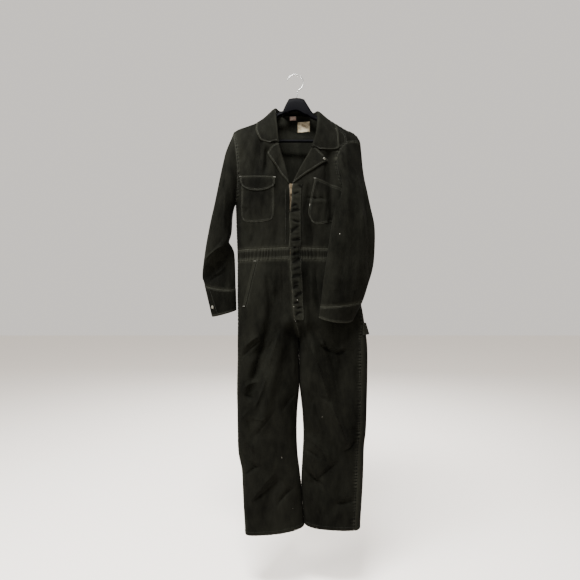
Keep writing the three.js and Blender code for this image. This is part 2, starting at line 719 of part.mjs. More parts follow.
const pocketLift = over(PATCH_GAP, PATCH);
add('chest_pocket_right', trimmed(bodice[RIGHT], PATCH, pocketLift, [
  [-196, 394], [-79, 394], [-79, 530], [-92, 543], [-139, 551], [-184, 547], [-197, 534],
]), drill);
add('chest_flap_right', trimmed(bodice[RIGHT], PATCH, pocketLift + over(PATCH_GAP, PATCH), [
  [-199, 383], [-77, 389], [-76, 412], [-92, 428], [-135, 440], [-180, 428], [-199, 409],
]), drill);
add('chest_pocket_left', trimmed(bodice[LEFT], PATCH, pocketLift, [
  [66, 393], [168, 431], [166, 530], [150, 544], [122, 551], [74, 560], [52, 545], [42, 508],
]), drill);

// Lapels: the tops of the fronts, folded out along the opening

const lapelLift = over(PATCH_GAP, DOUBLED);
add('lapel_right', trimmed(bodice[RIGHT], DOUBLED, lapelLift, [
  [-60, 269], [-100, 299], [-87, 329], [-26, 412], [-10, 412], [-10, 269],
]), drill);
add('lapel_left', trimmed(bodice[LEFT], DOUBLED, lapelLift, [
  [72, 290], [80, 295], [111, 331], [84, 348], [34, 379], [-8, 412], [-30, 412], [-30, 290],
]), drill);

// Collar: a stand inside the neck edge, a roll, and a fall that lies on the shoulders.
// Places are given as x and distance down, with the side of the ridge they lie on.

const FRONT = -1;
const TOP = 0;
const BACK = 1;
const collarRows = [
  // neck x, neck down, fall's edge x, edge down, height of the roll, side of the ridge
  [-63.5, 268, -94, 269, 7, FRONT],
  [-65, 256, -123, 259, 8, FRONT],
  [-67, 240, -136, 243, 9, FRONT],
  [-69, 212, -143, 222, 11, FRONT],
  [-72, 186, -144, 204, 14, FRONT],
  [-76, 142, -140, 177, 19, TOP],
  [-73, 141, -133, 189, 19, BACK],
  [-66, 140, -118, 196, 18, BACK],
  [-40, 139, -66, 203, 17, BACK],
  [2, 138, 2, 206, 16, BACK],
  [44, 141, 70, 206, 17, BACK],
  [70, 148, 122, 202, 18, BACK],
  [76, 149, 134, 193, 18, BACK],
  [80, 150, 138, 181, 17, TOP],
  [78, 190, 147, 212, 13, FRONT],
  [75, 220, 152, 240, 10, FRONT],
  [70, 245, 152, 268, 8, FRONT],
  [64.5, 262, 149, 291, 7, FRONT],
  [57, 284, 82, 292, 6, FRONT],
];

// A place's turn over the shoulder: 0 on the ridge, 1 where the roll ends, further below it
const rollOf = (turn) => (turn < 0 ? FRONT_ROLL : BACK_ROLL);
function turnOf(x, down, half) {
  if (half === TOP) return 0;
  const roll = rollOf(half);
  const below = down - ridge('down', x);
  if (below > roll) return half * (1 + (below - roll) / (roll * Math.PI / 2));
  return half * Math.max(1e-4, Math.acos(1 - clamp(below / roll)) / (Math.PI / 2));
}
function skin(x, turn) {
  const roll = rollOf(turn);
  const angle = Math.min(1, Math.abs(turn)) * Math.PI / 2;
  const past = Math.max(0, Math.abs(turn) - 1) * roll * Math.PI / 2;
  const down = ridge('down', x) + roll * (1 - Math.cos(angle)) + past;
  return vector(x, turn < 0 ? frontY(x, down) : backY(x, down), -down);
}
function skinNormal(x, turn) {
  const across = skin(x + 1, turn).sub(skin(x - 1, turn));
  const along = skin(x, turn + 0.01).sub(skin(x, turn - 0.01));
  return across.cross(along).normalize();
}

const collarAt = reader(['row', 'neckX', 'neckTurn', 'edgeX', 'edgeTurn', 'height'],
  collarRows.map(([x, down, edgeX, edgeDown, height, half], row) => [
    row, x, turnOf(x, down, half), edgeX, turnOf(edgeX, edgeDown, half), height,
  ]));
const COLLAR_CLEAR = 3.8;  // the fall's visible face above the shoulders
const BACK_CLEAR = 8;      // and this much more down the back
const STAND_IN = 3.3;      // the stand's visible face inside the neck edge
const ROLL_RADIUS = 3.2;
const fallShares = [0.14, 0.32, 0.55, 0.78, 1];

// The collar's section at a row, from the foot of the stand to the edge of the fall
function collarSection(row) {
  const [neckX, neckTurn, edgeX, edgeTurn, height] =
    ['neckX', 'neckTurn', 'edgeX', 'edgeTurn', 'height'].map((name) => collarAt(name, row));
  const neck = skin(neckX, neckTurn);
  const edge = skin(edgeX, edgeTurn);
  const up = neckTurn < -0.02 ? skinNormal(neckX, neckTurn) : vector(0, 0, 1);
  const out = edge.clone().sub(neck);
  if (neckTurn > 0) out.add(vector(0, 60 * smooth(80, 50, Math.abs(neckX - 2)), 0));
  out.addScaledVector(up, -out.dot(up)).normalize();
  const place = (sideways, upwards) =>
    neck.clone().addScaledVector(out, sideways).addScaledVector(up, upwards);
  const rise = height - ROLL_RADIUS;
  const centre = ROLL_RADIUS - STAND_IN;
  const foot = mix(-CLOTH, 0.5, smooth(-0.35, -0.05, neckTurn));
  const section = [place(-STAND_IN, foot), place(-STAND_IN, rise / 2), place(-STAND_IN, rise)];
  for (const angle of [55, 105]) {
    const turn = angle * Math.PI / 180;
    section.push(place(centre - ROLL_RADIUS * Math.cos(turn), rise + ROLL_RADIUS * Math.sin(turn)));
  }
  for (const share of fallShares) {
    const x = mix(neckX, edgeX, share);
    const turn = mix(neckTurn, edgeTurn, share);
    const normal = skinNormal(x, turn);
    const clear = COLLAR_CLEAR + BACK_CLEAR * smooth(0, 0.2, turn);
    section.push(skin(x, turn).addScaledVector(normal, clear)
      .addScaledVector(up, rise * (1 - share) ** 2));
  }
  return section;
}
const sectionLast = 4 + fallShares.length;
const collarSurface = {
  point: (across, row) => {
    const section = collarSection(row);
    const k = Math.min(sectionLast - 1, Math.floor(across * sectionLast + 1e-9));
    return section[k].clone().lerp(section[k + 1], across * sectionLast - k);
  },
};
const collarMesh = [0, 1, 2, 3, 3.5, 4, 4.35, 4.7, 5, 5.5, 6, 6.5, 7, 8, 9, 10, 11, 11.5, 12, 12.5,
  13, 13.3, 13.65, 14, 14.5, 15, 16, 17, 18];
add('collar', wall(sample(collarSurface, steps(sectionLast), collarMesh), DOUBLED), drill);

// A solid through a row of rings, closed at both ends
function loft(rings) {
  const count = rings[0].length;
  const position = rings.flat().flatMap((p) => p.toArray());
  const index = [];
  for (let j = 0; j < rings.length - 1; j += 1) {
    for (let i = 0; i < count; i += 1) {
      const a = j * count + i;
      const b = j * count + (i + 1) % count;
      index.push(a, b, b + count, a, b + count, a + count);
    }
  }
  for (const [first, turned] of [[0, false], [(rings.length - 1) * count, true]]) {
    for (let i = 1; i < count - 1; i += 1) {
      const pair = turned ? [first + i, first + i + 1] : [first + i + 1, first + i];
      index.push(first, ...pair);
    }
  }
  return facingOut(position, index);
}

// Zip: tape and chain behind the two fronts, from the foot of the V to the end of the fly

const fronts = (side) => [
  ...bodice[side].p.slice(0, V_ROW + 1).map((p, j) => ({ p, n: bodice[side].n[j] })).reverse(),
  ...[1, 0].map((j) => ({ p: bandFront[side].p[j], n: bandFront[side].n[j] })),
  ...leg[side + 'front'].p.map((p, j) => ({ p, n: leg[side + 'front'].n[j] }))
    .filter(({ p }) => -p[0].z < FLY_END),
];
const ZIP_BEHIND = 2.9;    // tape's face behind the fronts' faces
const CHAIN_HALF = 2.3;
const CHAIN_HIGH = 2;
const TAPE_HALF = 12;
const TAPE = 0.8;
const zipProfile = [
  [0, TAPE], [-TAPE_HALF, TAPE], [-TAPE_HALF, 0], [-CHAIN_HALF, 0], [-CHAIN_HALF, -CHAIN_HIGH],
  [CHAIN_HALF, -CHAIN_HIGH], [CHAIN_HALF, 0], [TAPE_HALF, 0], [TAPE_HALF, TAPE],
];
const CHAIN_CORNERS = [4, 5]; // the chain's front corners in that profile
const zipRings = fronts(RIGHT).map(({ p: [right] }, j) => {
  const left = fronts(LEFT)[j].p[0];
  const middle = right.clone().lerp(left, 0.5);
  const face = Math.max(right.y, left.y) + ZIP_BEHIND;
  return zipProfile.map(([x, y]) => vector(middle.x + x, face + y, middle.z));
});
add('zip', loft(zipRings), brass);

// Fly placket: a strip on the wearer's left front beside the zip

const PLACKET = 1.2;
const PLACKET_GAP = 1;
const placketRows = fronts(LEFT);
add('fly_placket', wall({
  p: placketRows.map(({ p }) => [p[0], p[1], p[2], p[2].clone().lerp(p[3], 0.6)]),
  n: placketRows.map(({ n }) => [n[0], n[1], n[2], n[2].clone().lerp(n[3], 0.6).normalize()]),
}, PLACKET, over(PLACKET_GAP, PLACKET)), drill);

// Zip slider, its bridge and the pull tab that swings from it

const box = (x0, x1, y0, y1, z0, z1) =>
  Manifold.cube([x1 - x0, y1 - y0, z1 - z0]).translate([x0, y0, z0]);
const [chainRight, chainLeft] = CHAIN_CORNERS.map((k) => zipRings[0][k]);
const zipTop = chainRight.clone().lerp(chainLeft, 0.5);
const SLIDER = { half: 4.1, thick: 2.6, top: -1, bottom: -14 };
const BRIDGE = { half: 1, top: -2.5, bottom: -12, high: 3.6, bar: 0.9 };
const sliderFace = zipTop.y - 0.35 - SLIDER.thick;
const sliderZ = (down) => zipTop.z + down;
const body = box(zipTop.x - SLIDER.half, zipTop.x + SLIDER.half, sliderFace,
  sliderFace + SLIDER.thick, sliderZ(SLIDER.bottom), sliderZ(SLIDER.top));
const arch = box(zipTop.x - BRIDGE.half, zipTop.x + BRIDGE.half, sliderFace - BRIDGE.high,
  sliderFace + 0.5, sliderZ(BRIDGE.bottom), sliderZ(BRIDGE.top));
const eye = box(zipTop.x - 3, zipTop.x + 3, sliderFace - BRIDGE.high + BRIDGE.bar, sliderFace,
  sliderZ(BRIDGE.bottom + 1.4), sliderZ(BRIDGE.top - 1.4));
add('zip_slider', geometryOf(body.add(arch.subtract(eye))), brass);

const TAB = { half: 2.8, thick: 1.2, long: 27, hole: 5.4, holeHalf: 1.7, pin: 0.75 };
const pivot = vector(zipTop.x, sliderFace - 1.35, sliderZ(BRIDGE.bottom + 1.4 + 1.3));
const plate = box(pivot.x - TAB.half, pivot.x + TAB.half, pivot.y - TAB.thick / 2,
  pivot.y + TAB.thick / 2, pivot.z - TAB.long, pivot.z);
const slot = box(pivot.x - TAB.holeHalf, pivot.x + TAB.holeHalf, pivot.y - 2, pivot.y + 2,
  pivot.z - TAB.hole, pivot.z + 2);
const pin = Manifold.cylinder(TAB.half * 2, TAB.pin, TAB.pin, 16).rotate([0, 90, 0])
  .translate([pivot.x - TAB.half, pivot.y, pivot.z]);
add('zip_pull_tab', geometryOf(plate.subtract(slot).add(pin)), brass);

// Hip pocket welts: a strip along each slanted opening

const welt = (x0, x1) => [[x0 - 4, 689], [x0 + 5, 689], [x1 + 5, 853], [x1 - 4, 853]];
add('hip_pocket_welt_right', trimmed(leg[RIGHT + 'front'], PATCH, pocketLift, welt(-148, -188)),
  drill);
add('hip_pocket_welt_left', trimmed(leg[LEFT + 'front'], PATCH, pocketLift, welt(137, 190)),
  drill);

// Hammer loop: a strap from the wearer's left outseam round to the back

const LOOP_STANDS = [11, 4]; // how far the strap's lower and upper edge stand off the leg
const loopSurface = {
  point: (across, row) => {
    const around = mix(OUTSEAM[LEFT] + 0.02, 1.4, across);
    const down = mix(956, 915, row);
    const off = DOUBLED + 0.6 + mix(...LOOP_STANDS, row) * Math.sin(Math.PI * across) ** 0.8;
    const p = lowerPoint(LEFT, around, down);
    return p.addScaledVector(lowerNormal(LEFT, around, down), off);
  },
};
add('hammer_loop', wall(sample(loopSurface, steps(10), steps(2), { turned: 1 }), DOUBLED), drill);

// Snaps

const SNAP = { radius: 5.6, top: 4.8, high: 1.8 };
function snap(name, place, normal, lift) {
  const facing = new THREE.Quaternion().setFromUnitVectors(vector(0, 0, 1), normal);
  const disc = new THREE.CylinderGeometry(SNAP.top, SNAP.radius, SNAP.high, 20);
  disc.rotateX(Math.PI / 2).translate(0, 0, SNAP.high / 2 + lift).applyQuaternion(facing);
  disc.translate(place.x, place.y, place.z);
  add(name, geometryOf(solidOf(disc)), snapMetal);
}
const lapelPoint = vector(101, frontY(101, 327), -327);
const lapelSlope = vector((frontY(107, 327) - frontY(95, 327)) / 12, -1,
  (frontY(101, 321) - frontY(101, 333)) / 12).normalize();
snap('lapel_snap', lapelPoint, lapelSlope, lapelLift + 0.6);
const rightSleeve = sleeve(RIGHT);
const snapRow = rightSleeve.last - 0.3;
const SNAP_TURN = 0.13;
snap('cuff_snap', rightSleeve.point(SNAP_TURN, snapRow),
  normalOf(rightSleeve, SNAP_TURN, snapRow, RIGHT, { u0: 0, u1: 1, v0: 0, v1: rightSleeve.last }),
  0.3 + 0.3);

// Labels inside the back neck

const LABEL = 0.6;
const labelLift = -CLOTH - 0.5;
add('neck_label', trimmed(back, LABEL, labelLift, [[-22, 142], [0, 142], [0, 156], [-22, 156]],
  false), labelCloth);
add('size_label', trimmed(back, LABEL, labelLift, [[10, 157], [50, 157], [50, 202], [10, 202]],
  false), labelCloth);

// Hanger: hub and arms in one moulding, a trouser bar between the arms' tips and a wire hook

const SEAT = CLOTH + 1.1;  // the arms' top below the shoulder ridge
const hangerRows = reader(['x', 'top', 'bottom', 'half'], [
  [-200, 0, 254, 6], [-184, 0, 254, 7], [-176, 0, 222, 7], [-140, 0, 199, 7], [-100, 0, 180, 7],
  [-74, 0, 164, 7], [-63, 137, 154, 8], [-37, 107, 143, 9], [-26, 88, 139, 9], [-11, 85, 134, 9],
  [2, 84, 133, 9], [15, 85, 138, 9], [30, 89, 147, 9], [41, 107, 150, 9], [56, 131, 160, 8],
  [70, 149, 167, 7], [78, 0, 170, 7], [100, 0, 182, 7], [140, 0, 203, 7], [176, 0, 224, 7],
  [184, 0, 254, 7], [200, 0, 254, 6],
]);
const hangerStations = [-200, -192, -184, -176, -155, -140, -120, -100, -86, -74, -63, -50,
  -37, -26, -11, 2, 15, 30, 41, 56, 70, 78, 88, 100, 120, 140, 155, 176, 184, 192, 200];
const inNeck = (x) => x > -74 && x < 78;
const hangerRings = hangerStations.map((x) => {
  const top = inNeck(x) ? hangerRows('top', x)
    : ridge('down', x) + SEAT;
  const bottom = hangerRows('bottom', x);
  const half = hangerRows('half', x);
  return [
    [0, top], [0.3, top + 2.2], [0.7, top + 5], [1, top + 10], [1, bottom - 4], [0.5, bottom],
    [-0.5, bottom], [-1, bottom - 4], [-1, top + 10], [-0.7, top + 5], [-0.3, top + 2.2],
  ].map(([y, down]) => vector(x, y * half, -down));
});
add('hanger_body', loft(hangerRings), plastic);

const tube = (points, radius, sides, segments) => {
  const path = new THREE.CatmullRomCurve3(points);
  const round = steps(sides, 0, 2 * Math.PI).slice(0, -1);
  return loft(steps(segments).map((t) => {
    const p = path.getPointAt(t);
    const along = path.getTangentAt(t);
    const flat = vector(0, 1, 0);
    const other = along.clone().cross(flat).normalize();
    return round.map((a) => p.clone().addScaledVector(flat, radius * Math.cos(a))
      .addScaledVector(other, radius * Math.sin(a)));
  }));
};
const BAR = { down: 244, radius: 5.5, end: 179.2 };
add('hanger_bar', tube([vector(-BAR.end, 0, -BAR.down), vector(0, 0, -BAR.down),
  vector(BAR.end, 0, -BAR.down)], BAR.radius, 16, 2), plastic);

const HOOK = { wire: 2, bend: 30, x: -3 };
const hookArc = steps(9, 163, -15).map((degrees) => {
  const a = degrees * Math.PI / 180;
  return vector(HOOK.x + HOOK.bend * Math.cos(a), 0,
    HOOK.wire - HOOK.bend + HOOK.bend * Math.sin(a));
});
const hookStem = [[20, 48], [9, 56], [4, 64], [3, 74], [3, 83.6]].map(([x, down]) =>
  vector(x, 0, -down));
add('hanger_hook', tube([...hookArc, ...hookStem], HOOK.wire, 8, 30), steel);

export default suit;
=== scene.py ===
import math

import bpy
import numpy as np
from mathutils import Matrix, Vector


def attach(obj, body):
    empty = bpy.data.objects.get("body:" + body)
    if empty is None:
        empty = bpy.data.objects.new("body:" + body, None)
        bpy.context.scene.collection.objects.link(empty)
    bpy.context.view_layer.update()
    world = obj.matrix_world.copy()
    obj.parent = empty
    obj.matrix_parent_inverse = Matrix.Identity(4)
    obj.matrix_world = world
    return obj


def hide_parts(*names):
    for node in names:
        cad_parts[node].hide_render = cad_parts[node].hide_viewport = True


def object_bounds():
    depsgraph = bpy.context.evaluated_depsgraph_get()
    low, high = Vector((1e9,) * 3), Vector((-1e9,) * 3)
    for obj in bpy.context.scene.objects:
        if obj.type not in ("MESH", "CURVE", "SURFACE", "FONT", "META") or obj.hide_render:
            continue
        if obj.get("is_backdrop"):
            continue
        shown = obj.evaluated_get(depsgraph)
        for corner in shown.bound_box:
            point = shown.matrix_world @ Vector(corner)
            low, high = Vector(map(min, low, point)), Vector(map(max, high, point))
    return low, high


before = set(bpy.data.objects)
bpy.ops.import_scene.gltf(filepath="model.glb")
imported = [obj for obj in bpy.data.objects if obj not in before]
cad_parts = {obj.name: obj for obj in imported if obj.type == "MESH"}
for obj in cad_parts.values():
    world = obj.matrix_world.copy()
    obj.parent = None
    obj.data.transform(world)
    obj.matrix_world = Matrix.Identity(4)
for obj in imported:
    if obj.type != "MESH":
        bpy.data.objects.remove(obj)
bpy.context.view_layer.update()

# Fronts and back of the bodice: heavy cotton drill, sewn at the shoulders, sides and armholes.
# They hang from the hanger's arms. Tables are in millimetres, heights are distances down from
# the hook, and meshes are made in metres. The wearer's right is on the viewer's left.
MM = 0.001
RIGHT, LEFT = -1, 1
SIDE_NAME = {RIGHT: "right", LEFT: "left"}
CLOTH = 1.4
SEAM_INSET = 0.15
ROUNDNESS = 0.8
WAIST_TOP, WAIST_DROP, BAND_HEIGHT = 640, 8, 42
FRONT_ROLL, BACK_ROLL = 110, 60
ARMPIT_ROW, NECK_SHARE = 0.45, 0.3
CENTRE_TOP = 138
NECK_MIDDLE, NECK_HALF, NECK_FLAT = 2, 77.9, 62


def mix(a, b, t):
    """The value a share t of the way from a to b."""
    return a + (b - a) * t


def smooth(start, end, x):
    """0 at start, 1 at end and soft in between, whichever of the two is the larger."""
    t = np.clip((x - start) / (end - start), 0, 1)
    return t * t * (3 - 2 * t)


def power(x):
    """Makes a circle's sine or cosine fuller, as the section of a hanging suit is."""
    return np.sign(x) * np.abs(x) ** ROUNDNESS


def unpower(x):
    """Undoes power."""
    return np.sign(x) * np.abs(x) ** (1 / ROUNDNESS)


def reader(columns, rows):
    """Reads a table whose first column ascends; the others run smoothly between its rows."""
    rows = np.array(rows, float)
    keys = rows[:, 0]
    after = np.minimum(np.arange(len(keys)) + 1, len(keys) - 1)
    before = np.maximum(np.arange(len(keys)) - 1, 0)
    slopes = (rows[after] - rows[before]) / (keys[after] - keys[before])[:, None]

    def read(column, at):
        """The named column's values at the given places in the first one."""
        at = np.clip(np.asarray(at, float), keys[0], keys[-1])
        k = np.clip(np.searchsorted(keys, at, side="right") - 1, 0, len(keys) - 2)
        span = keys[k + 1] - keys[k]
        t = (at - keys[k]) / span
        c = columns.index(column)
        start = (2 * t**3 - 3 * t**2 + 1) * rows[k, c] + (t**3 - 2 * t**2 + t) * span * slopes[k, c]
        end = (3 * t**2 - 2 * t**3) * rows[k + 1, c] + (t**3 - t**2) * span * slopes[k + 1, c]
        return start + end

    return read


trunk = reader(["down", "right", "left", "centre", "front", "back"], [
    [130, -246, 246, -10, 56, 34],
    [245, -245, 246, -14, 60, 36],
    [345, -235, 242, -18, 62, 38],
    [420, -229, 232, -19, 63, 40],
    [474, -222, 214, -19, 63, 40],
    [560, -219, 206, -20, 62, 40],
    [640, -216, 206, -20, 60, 38],
    [690, -215, 210, -18, 60, 38],
    [760, -215, 225, -14, 62, 42],
    [890, -214, 248, -5, 62, 46],
    [960, -215, 258, 5, 60, 46],
])
ridge_table = reader(["x", "down"], [
    [-232, 222], [-225, 211], [-210, 202], [-180, 192], [-140, 177], [-110, 161], [-76, 142],
    [-40, 139], [0, 138], [40, 141], [80, 150], [137, 180], [181, 204], [210, 216], [231, 238],
    [239, 262],
])
NECK = {RIGHT: -76, LEFT: 80}
ARMHOLES = {
    RIGHT: dict(tip=(-232, 222), front=(-213, 345), pit=(-222, 474), back=(-219, 350)),
    LEFT: dict(tip=(239, 262), front=(148, 322), pit=(214, 474), back=(206, 350)),
}
openings = {
    RIGHT: reader(["row", "x", "down"], [
        [0, -23, 640], [0.2, -23, 560], [0.45, -23, 462], [0.55, -26, 416], [0.7, -42, 346],
        [0.82, -62, 277], [0.9, -69, 222], [1, -76, 142],
    ]),
    LEFT: reader(["row", "x", "down"], [
        [0, -17, 640], [0.2, -17, 560], [0.45, -16, 462], [0.55, -12, 416], [0.7, 20, 350],
        [0.82, 58, 282], [0.9, 74, 225], [1, 80, 150],
    ]),
}
# Largest folds, as in the part: x and down of both ends, width, height (below 0 is a trough)
FRONT_FOLDS = [
    [-150, 190, -196, 330, 13, -9],
    [-128, 250, -150, 380, 11, -8],
    [-100, 290, -112, 378, 9, -8],
    [-62, 330, -66, 620, 16, -7],
    [-176, 570, -166, 640, 14, -5],
    [44, 430, 60, 620, 15, -7],
    [118, 300, 128, 560, 14, -12],
    [-30, 890, -128, 1290, 20, 15],
    [-66, 800, -166, 1180, 16, -10],
    [-110, 720, -118, 930, 16, 7],
    [8, 700, 40, 930, 14, 12],
    [44, 940, 112, 1200, 17, 17],
    [112, 1200, 186, 1352, 17, 15],
    [150, 1010, 196, 1180, 18, -10],
    [60, 1300, 210, 1420, 18, -9],
    [-190, 1040, -110, 1000, 16, -8],
    [-196, 1150, -140, 1120, 14, 7],
    [-200, 1350, -130, 1450, 18, -9],
    [-60, 1450, -110, 1600, 20, -8],
    [40, 1450, 120, 1560, 18, -9],
    [110, 1590, 200, 1540, 18, -8],
]
BACK_FOLDS = [
    [-120, 260, -150, 600, 20, 8],
    [110, 260, 130, 600, 20, 8],
    [-8, 300, -12, 600, 24, -7],
    [-120, 800, -150, 1150, 22, 8],
    [130, 800, 170, 1150, 22, 8],
    [-70, 1050, -130, 1400, 20, -8],
    [80, 1050, 150, 1400, 20, -8],
    [-160, 1420, -60, 1500, 20, -7],
    [80, 1500, 190, 1430, 20, -7],
]
# Finer creases: x and down of both ends, sideways bow, width of the easy side, height
FRONT_CREASES = [
    [126, 190, 175, 228, 0, 5, 1.1],
    [177, 226, 179, 288, 0, 5, 1.1],
    [162, 232, 158, 276, 0, 5, -2.6],
    [196, 240, 200, 284, 0, 6, -2],
    [-161, 236, -194, 372, 6, 8, -4.5],
    [-146, 214, -176, 330, -4, 7, 3],
    [-128, 260, -140, 382, 4, 7, -4],
    [-116, 250, -124, 372, 3, 6, 2],
    [-106, 276, -105, 374, -3, 6, -3.5],
    [-92, 330, -70, 424, 5, 6, 2],
    [-68, 400, -54, 626, 8, 9, -3],
    [-50, 430, -44, 640, -5, 7, 2.5],
    [-34, 440, -36, 640, 4, 5, -1.5],
    [-150, 560, -172, 640, 6, 7, -2.5],
    [-190, 468, -176, 566, -5, 7, 2.5],
    [-120, 566, -128, 638, 3, 6, 1.8],
    [-94, 440, -100, 540, 3, 7, -1.6],
    [-150, 450, -160, 540, 4, 8, 1.8],
    [24, 436, 34, 640, -6, 7, 2.5],
    [42, 400, 28, 520, 6, 6, -2.2],
    [50, 560, 62, 640, 4, 7, -2.5],
    [38, 466, 78, 472, 4, 5, -3.5],
    [84, 466, 104, 476, 3, 5, -3],
    [96, 300, 104, 420, 5, 7, -3],
    [120, 440, 104, 560, 6, 8, 2.5],
]
BACK_CREASES = [
    [-160, 236, -112, 420, 12, 11, -4],
    [-128, 250, -90, 480, -9, 9, 3],
    [-62, 214, -40, 500, 8, 11, -3],
    [-20, 470, -14, 640, 4, 8, 2.5],
    [26, 500, 40, 640, -4, 8, -2],
    [64, 240, 44, 500, -8, 11, -3],
    [136, 240, 100, 446, -10, 11, -4],
    [156, 268, 128, 520, 6, 9, 3],
    [-186, 520, -150, 640, 7, 9, -3],
    [-110, 540, -100, 640, -4, 8, 2.5],
    [168, 520, 140, 640, -7, 9, -3],
    [96, 560, 92, 640, 4, 8, 2.2],
    [-30, 190, 60, 214, -8, 10, 1.6],
]


def along_line(row, x, down):
    """Distance along and beside the straight line between a fold's two ends, and its length."""
    dx, dd = row[2] - row[0], row[3] - row[1]
    length = math.hypot(dx, dd)
    along = ((x - row[0]) * dx + (down - row[1]) * dd) / length
    beside = ((x - row[0]) * dd - (down - row[1]) * dx) / length
    return along, beside, length


def folds_at(rows, x, down):
    """Height of the largest folds: soft ridges, or troughs where it is below 0."""
    lift = 0
    for row in rows:
        along, beside, length = along_line(row, x, down)
        end = row[4] * 1.5
        fade = smooth(-end, end, along) * smooth(length + end, length - end, along)
        lift = lift + row[5] * fade * np.exp(-((beside / row[4]) ** 2))
    return lift


CREASE_PEAK = 1.1
CREASE_DEPTH = 1.7


def creases_at(rows, x, down):
    """Pressed-in creases: a sharp peak, steep on one side and easy on the other."""
    lift = 0
    for row in rows:
        along, beside, length = along_line(row, x, down)
        bow, width, height = row[4:]
        share = np.clip(along / length, 0, 1)
        beside = beside - bow * 4 * share * (1 - share)
        fade = smooth(-width, length * 0.3, along) * smooth(length + width, length * 0.7, along)
        side = np.where(beside > 0, 1, 0.45) * width
        lift = lift + height * fade * np.exp((CREASE_PEAK - np.hypot(beside, CREASE_PEAK)) / side)
    return CREASE_DEPTH * lift


def ripple(x, down, seed):
    """The unevenness of worn drill: shallow, long down the cloth and short across it."""
    sway = np.sin(down / 71 + seed) + 0.6 * np.sin(down / 33 + x / 58 + seed * 2.3)
    broad = np.sin(x / 19 + 1.1 * sway) * np.sin(down / 88 + x / 140 + seed * 1.7)
    fine = np.sin(x / 8.5 + down / 47 + 1.6 * sway) * np.sin(down / 29 - x / 37 + seed)
    return 1.1 * broad + 0.4 * fine


def fullness(x, down):
    """1 at the centre line, falling to 0 at the side seams, round the trunk's section."""
    centre = trunk("centre", down)
    edge = np.where(x < centre, trunk("right", down), trunk("left", down))
    t = np.clip(np.abs((x - centre) / (edge - centre)), 0, 1)
    return (1 - t ** (2 / ROUNDNESS)) ** (ROUNDNESS / 2)


def rolled(below, roll):
    """How far the cloth has come out over a roll: 0 at its top, 1 where it ends."""
    return np.sqrt(1 - (1 - np.clip(below / roll, 0, 1)) ** 2)


def ridge(x):
    """How far down the shoulders' ridge lies."""
    return ridge_table("down", x)


def at_neck(x):
    """1 across the back of the neck, where the back doesn't roll, and 0 out on the shoulders."""
    return smooth(NECK_HALF, NECK_FLAT, np.abs(x - NECK_MIDDLE))


def front_y(x, down):
    """Depth of the fronts, before the mid plane, with every fold and crease."""
    worn = folds_at(FRONT_FOLDS, x, down) + creases_at(FRONT_CREASES, x, down) + ripple(x, down, 0)
    full = fullness(x, down) * rolled(down - ridge(x), FRONT_ROLL)
    return -full * (trunk("front", down) + worn)


def back_y(x, down):
    """Depth of the back, behind the mid plane, with every fold and crease."""
    worn = folds_at(BACK_FOLDS, x, down) + creases_at(BACK_CREASES, x, down) + ripple(x, down, 4)
    over = mix(rolled(down - ridge(x), BACK_ROLL), 1, at_neck(x))
    return fullness(x, down) * over * (trunk("back", down) + worn)


def loop(marks, turn):
    """A closed curve through four points, at turn 0, 0.25, 0.5 and 0.75."""
    a, b, c, d = marks
    cos = power(np.cos(turn * 2 * np.pi))[..., None]
    sin = power(np.sin(turn * 2 * np.pi))[..., None]
    spread = (a + c - b - d) / 4 * (cos**2 - sin**2) / (cos**2 + sin**2)
    return (a + b + c + d) / 4 + cos * (a - c) / 2 + sin * (b - d) / 2 + spread


def place(x, y, down):
    """Points from x, depth and the distance down from the hook."""
    return np.stack(np.broadcast_arrays(x, y, -np.asarray(down, float)), axis=-1)


def armhole(side, turn):
    """The armhole seam: turn 0 is the shoulder tip, 0.25 the front, 0.5 the pit, 0.75 the back."""
    turn = np.asarray(turn, float) % 1
    marks = ARMHOLES[side]
    at = loop([np.array(marks[m], float) for m in ("tip", "front", "pit", "back")], turn)
    x, down = at[..., 0], at[..., 1]
    on_top = np.abs(np.sin(turn * 2 * np.pi)) < 1e-6
    lower = np.maximum(down, ridge(x) + 0.5)
    edge = np.abs(trunk(SIDE_NAME[side], lower)) - 1
    held = side * np.minimum(np.minimum(np.abs(x), edge), abs(marks["tip"][0]))
    y = np.where(turn < 0.5, front_y(held, lower), back_y(held, lower))
    return place(np.where(on_top, x, held), np.where(on_top, 0, y), np.where(on_top, down, lower))


def outer_edge(side, row, half):
    """x and down up the side seam and on round the armhole."""
    seam_down = mix(WAIST_TOP + WAIST_DROP, ARMHOLES[side]["pit"][1], row / ARMPIT_ROW)
    climb = np.clip((row - ARMPIT_ROW) / (1 - ARMPIT_ROW), 0, 1)
    arm = armhole(side, 0.5 - climb / 2 if half == "front" else 0.5 + climb / 2)
    below = row <= ARMPIT_ROW
    x = np.where(below, trunk(SIDE_NAME[side], seam_down), arm[..., 0])
    return x, np.where(below, seam_down, -arm[..., 2])


def bodice_place(inner, outer, across, row):
    """x and down between two edges; the highest rows follow the shoulders' ridge."""
    x = mix(inner[0], outer[0], across)
    bulge = ridge(x) - mix(ridge(inner[0]), ridge(outer[0]), across)
    return x, mix(inner[1], outer[1], across) + bulge * smooth(0.86, 1, row)


def front_grid(side, across, row):
    """Across 0 is the opening and 1 the side seam; row 0 is the waist and 1 the shoulder."""
    inner = openings[side]("x", row), openings[side]("down", row)
    x, down = bodice_place(inner, outer_edge(side, row, "front"), across, row)
    return place(x, np.where(row >= 1, 0, front_y(x, down)), down)


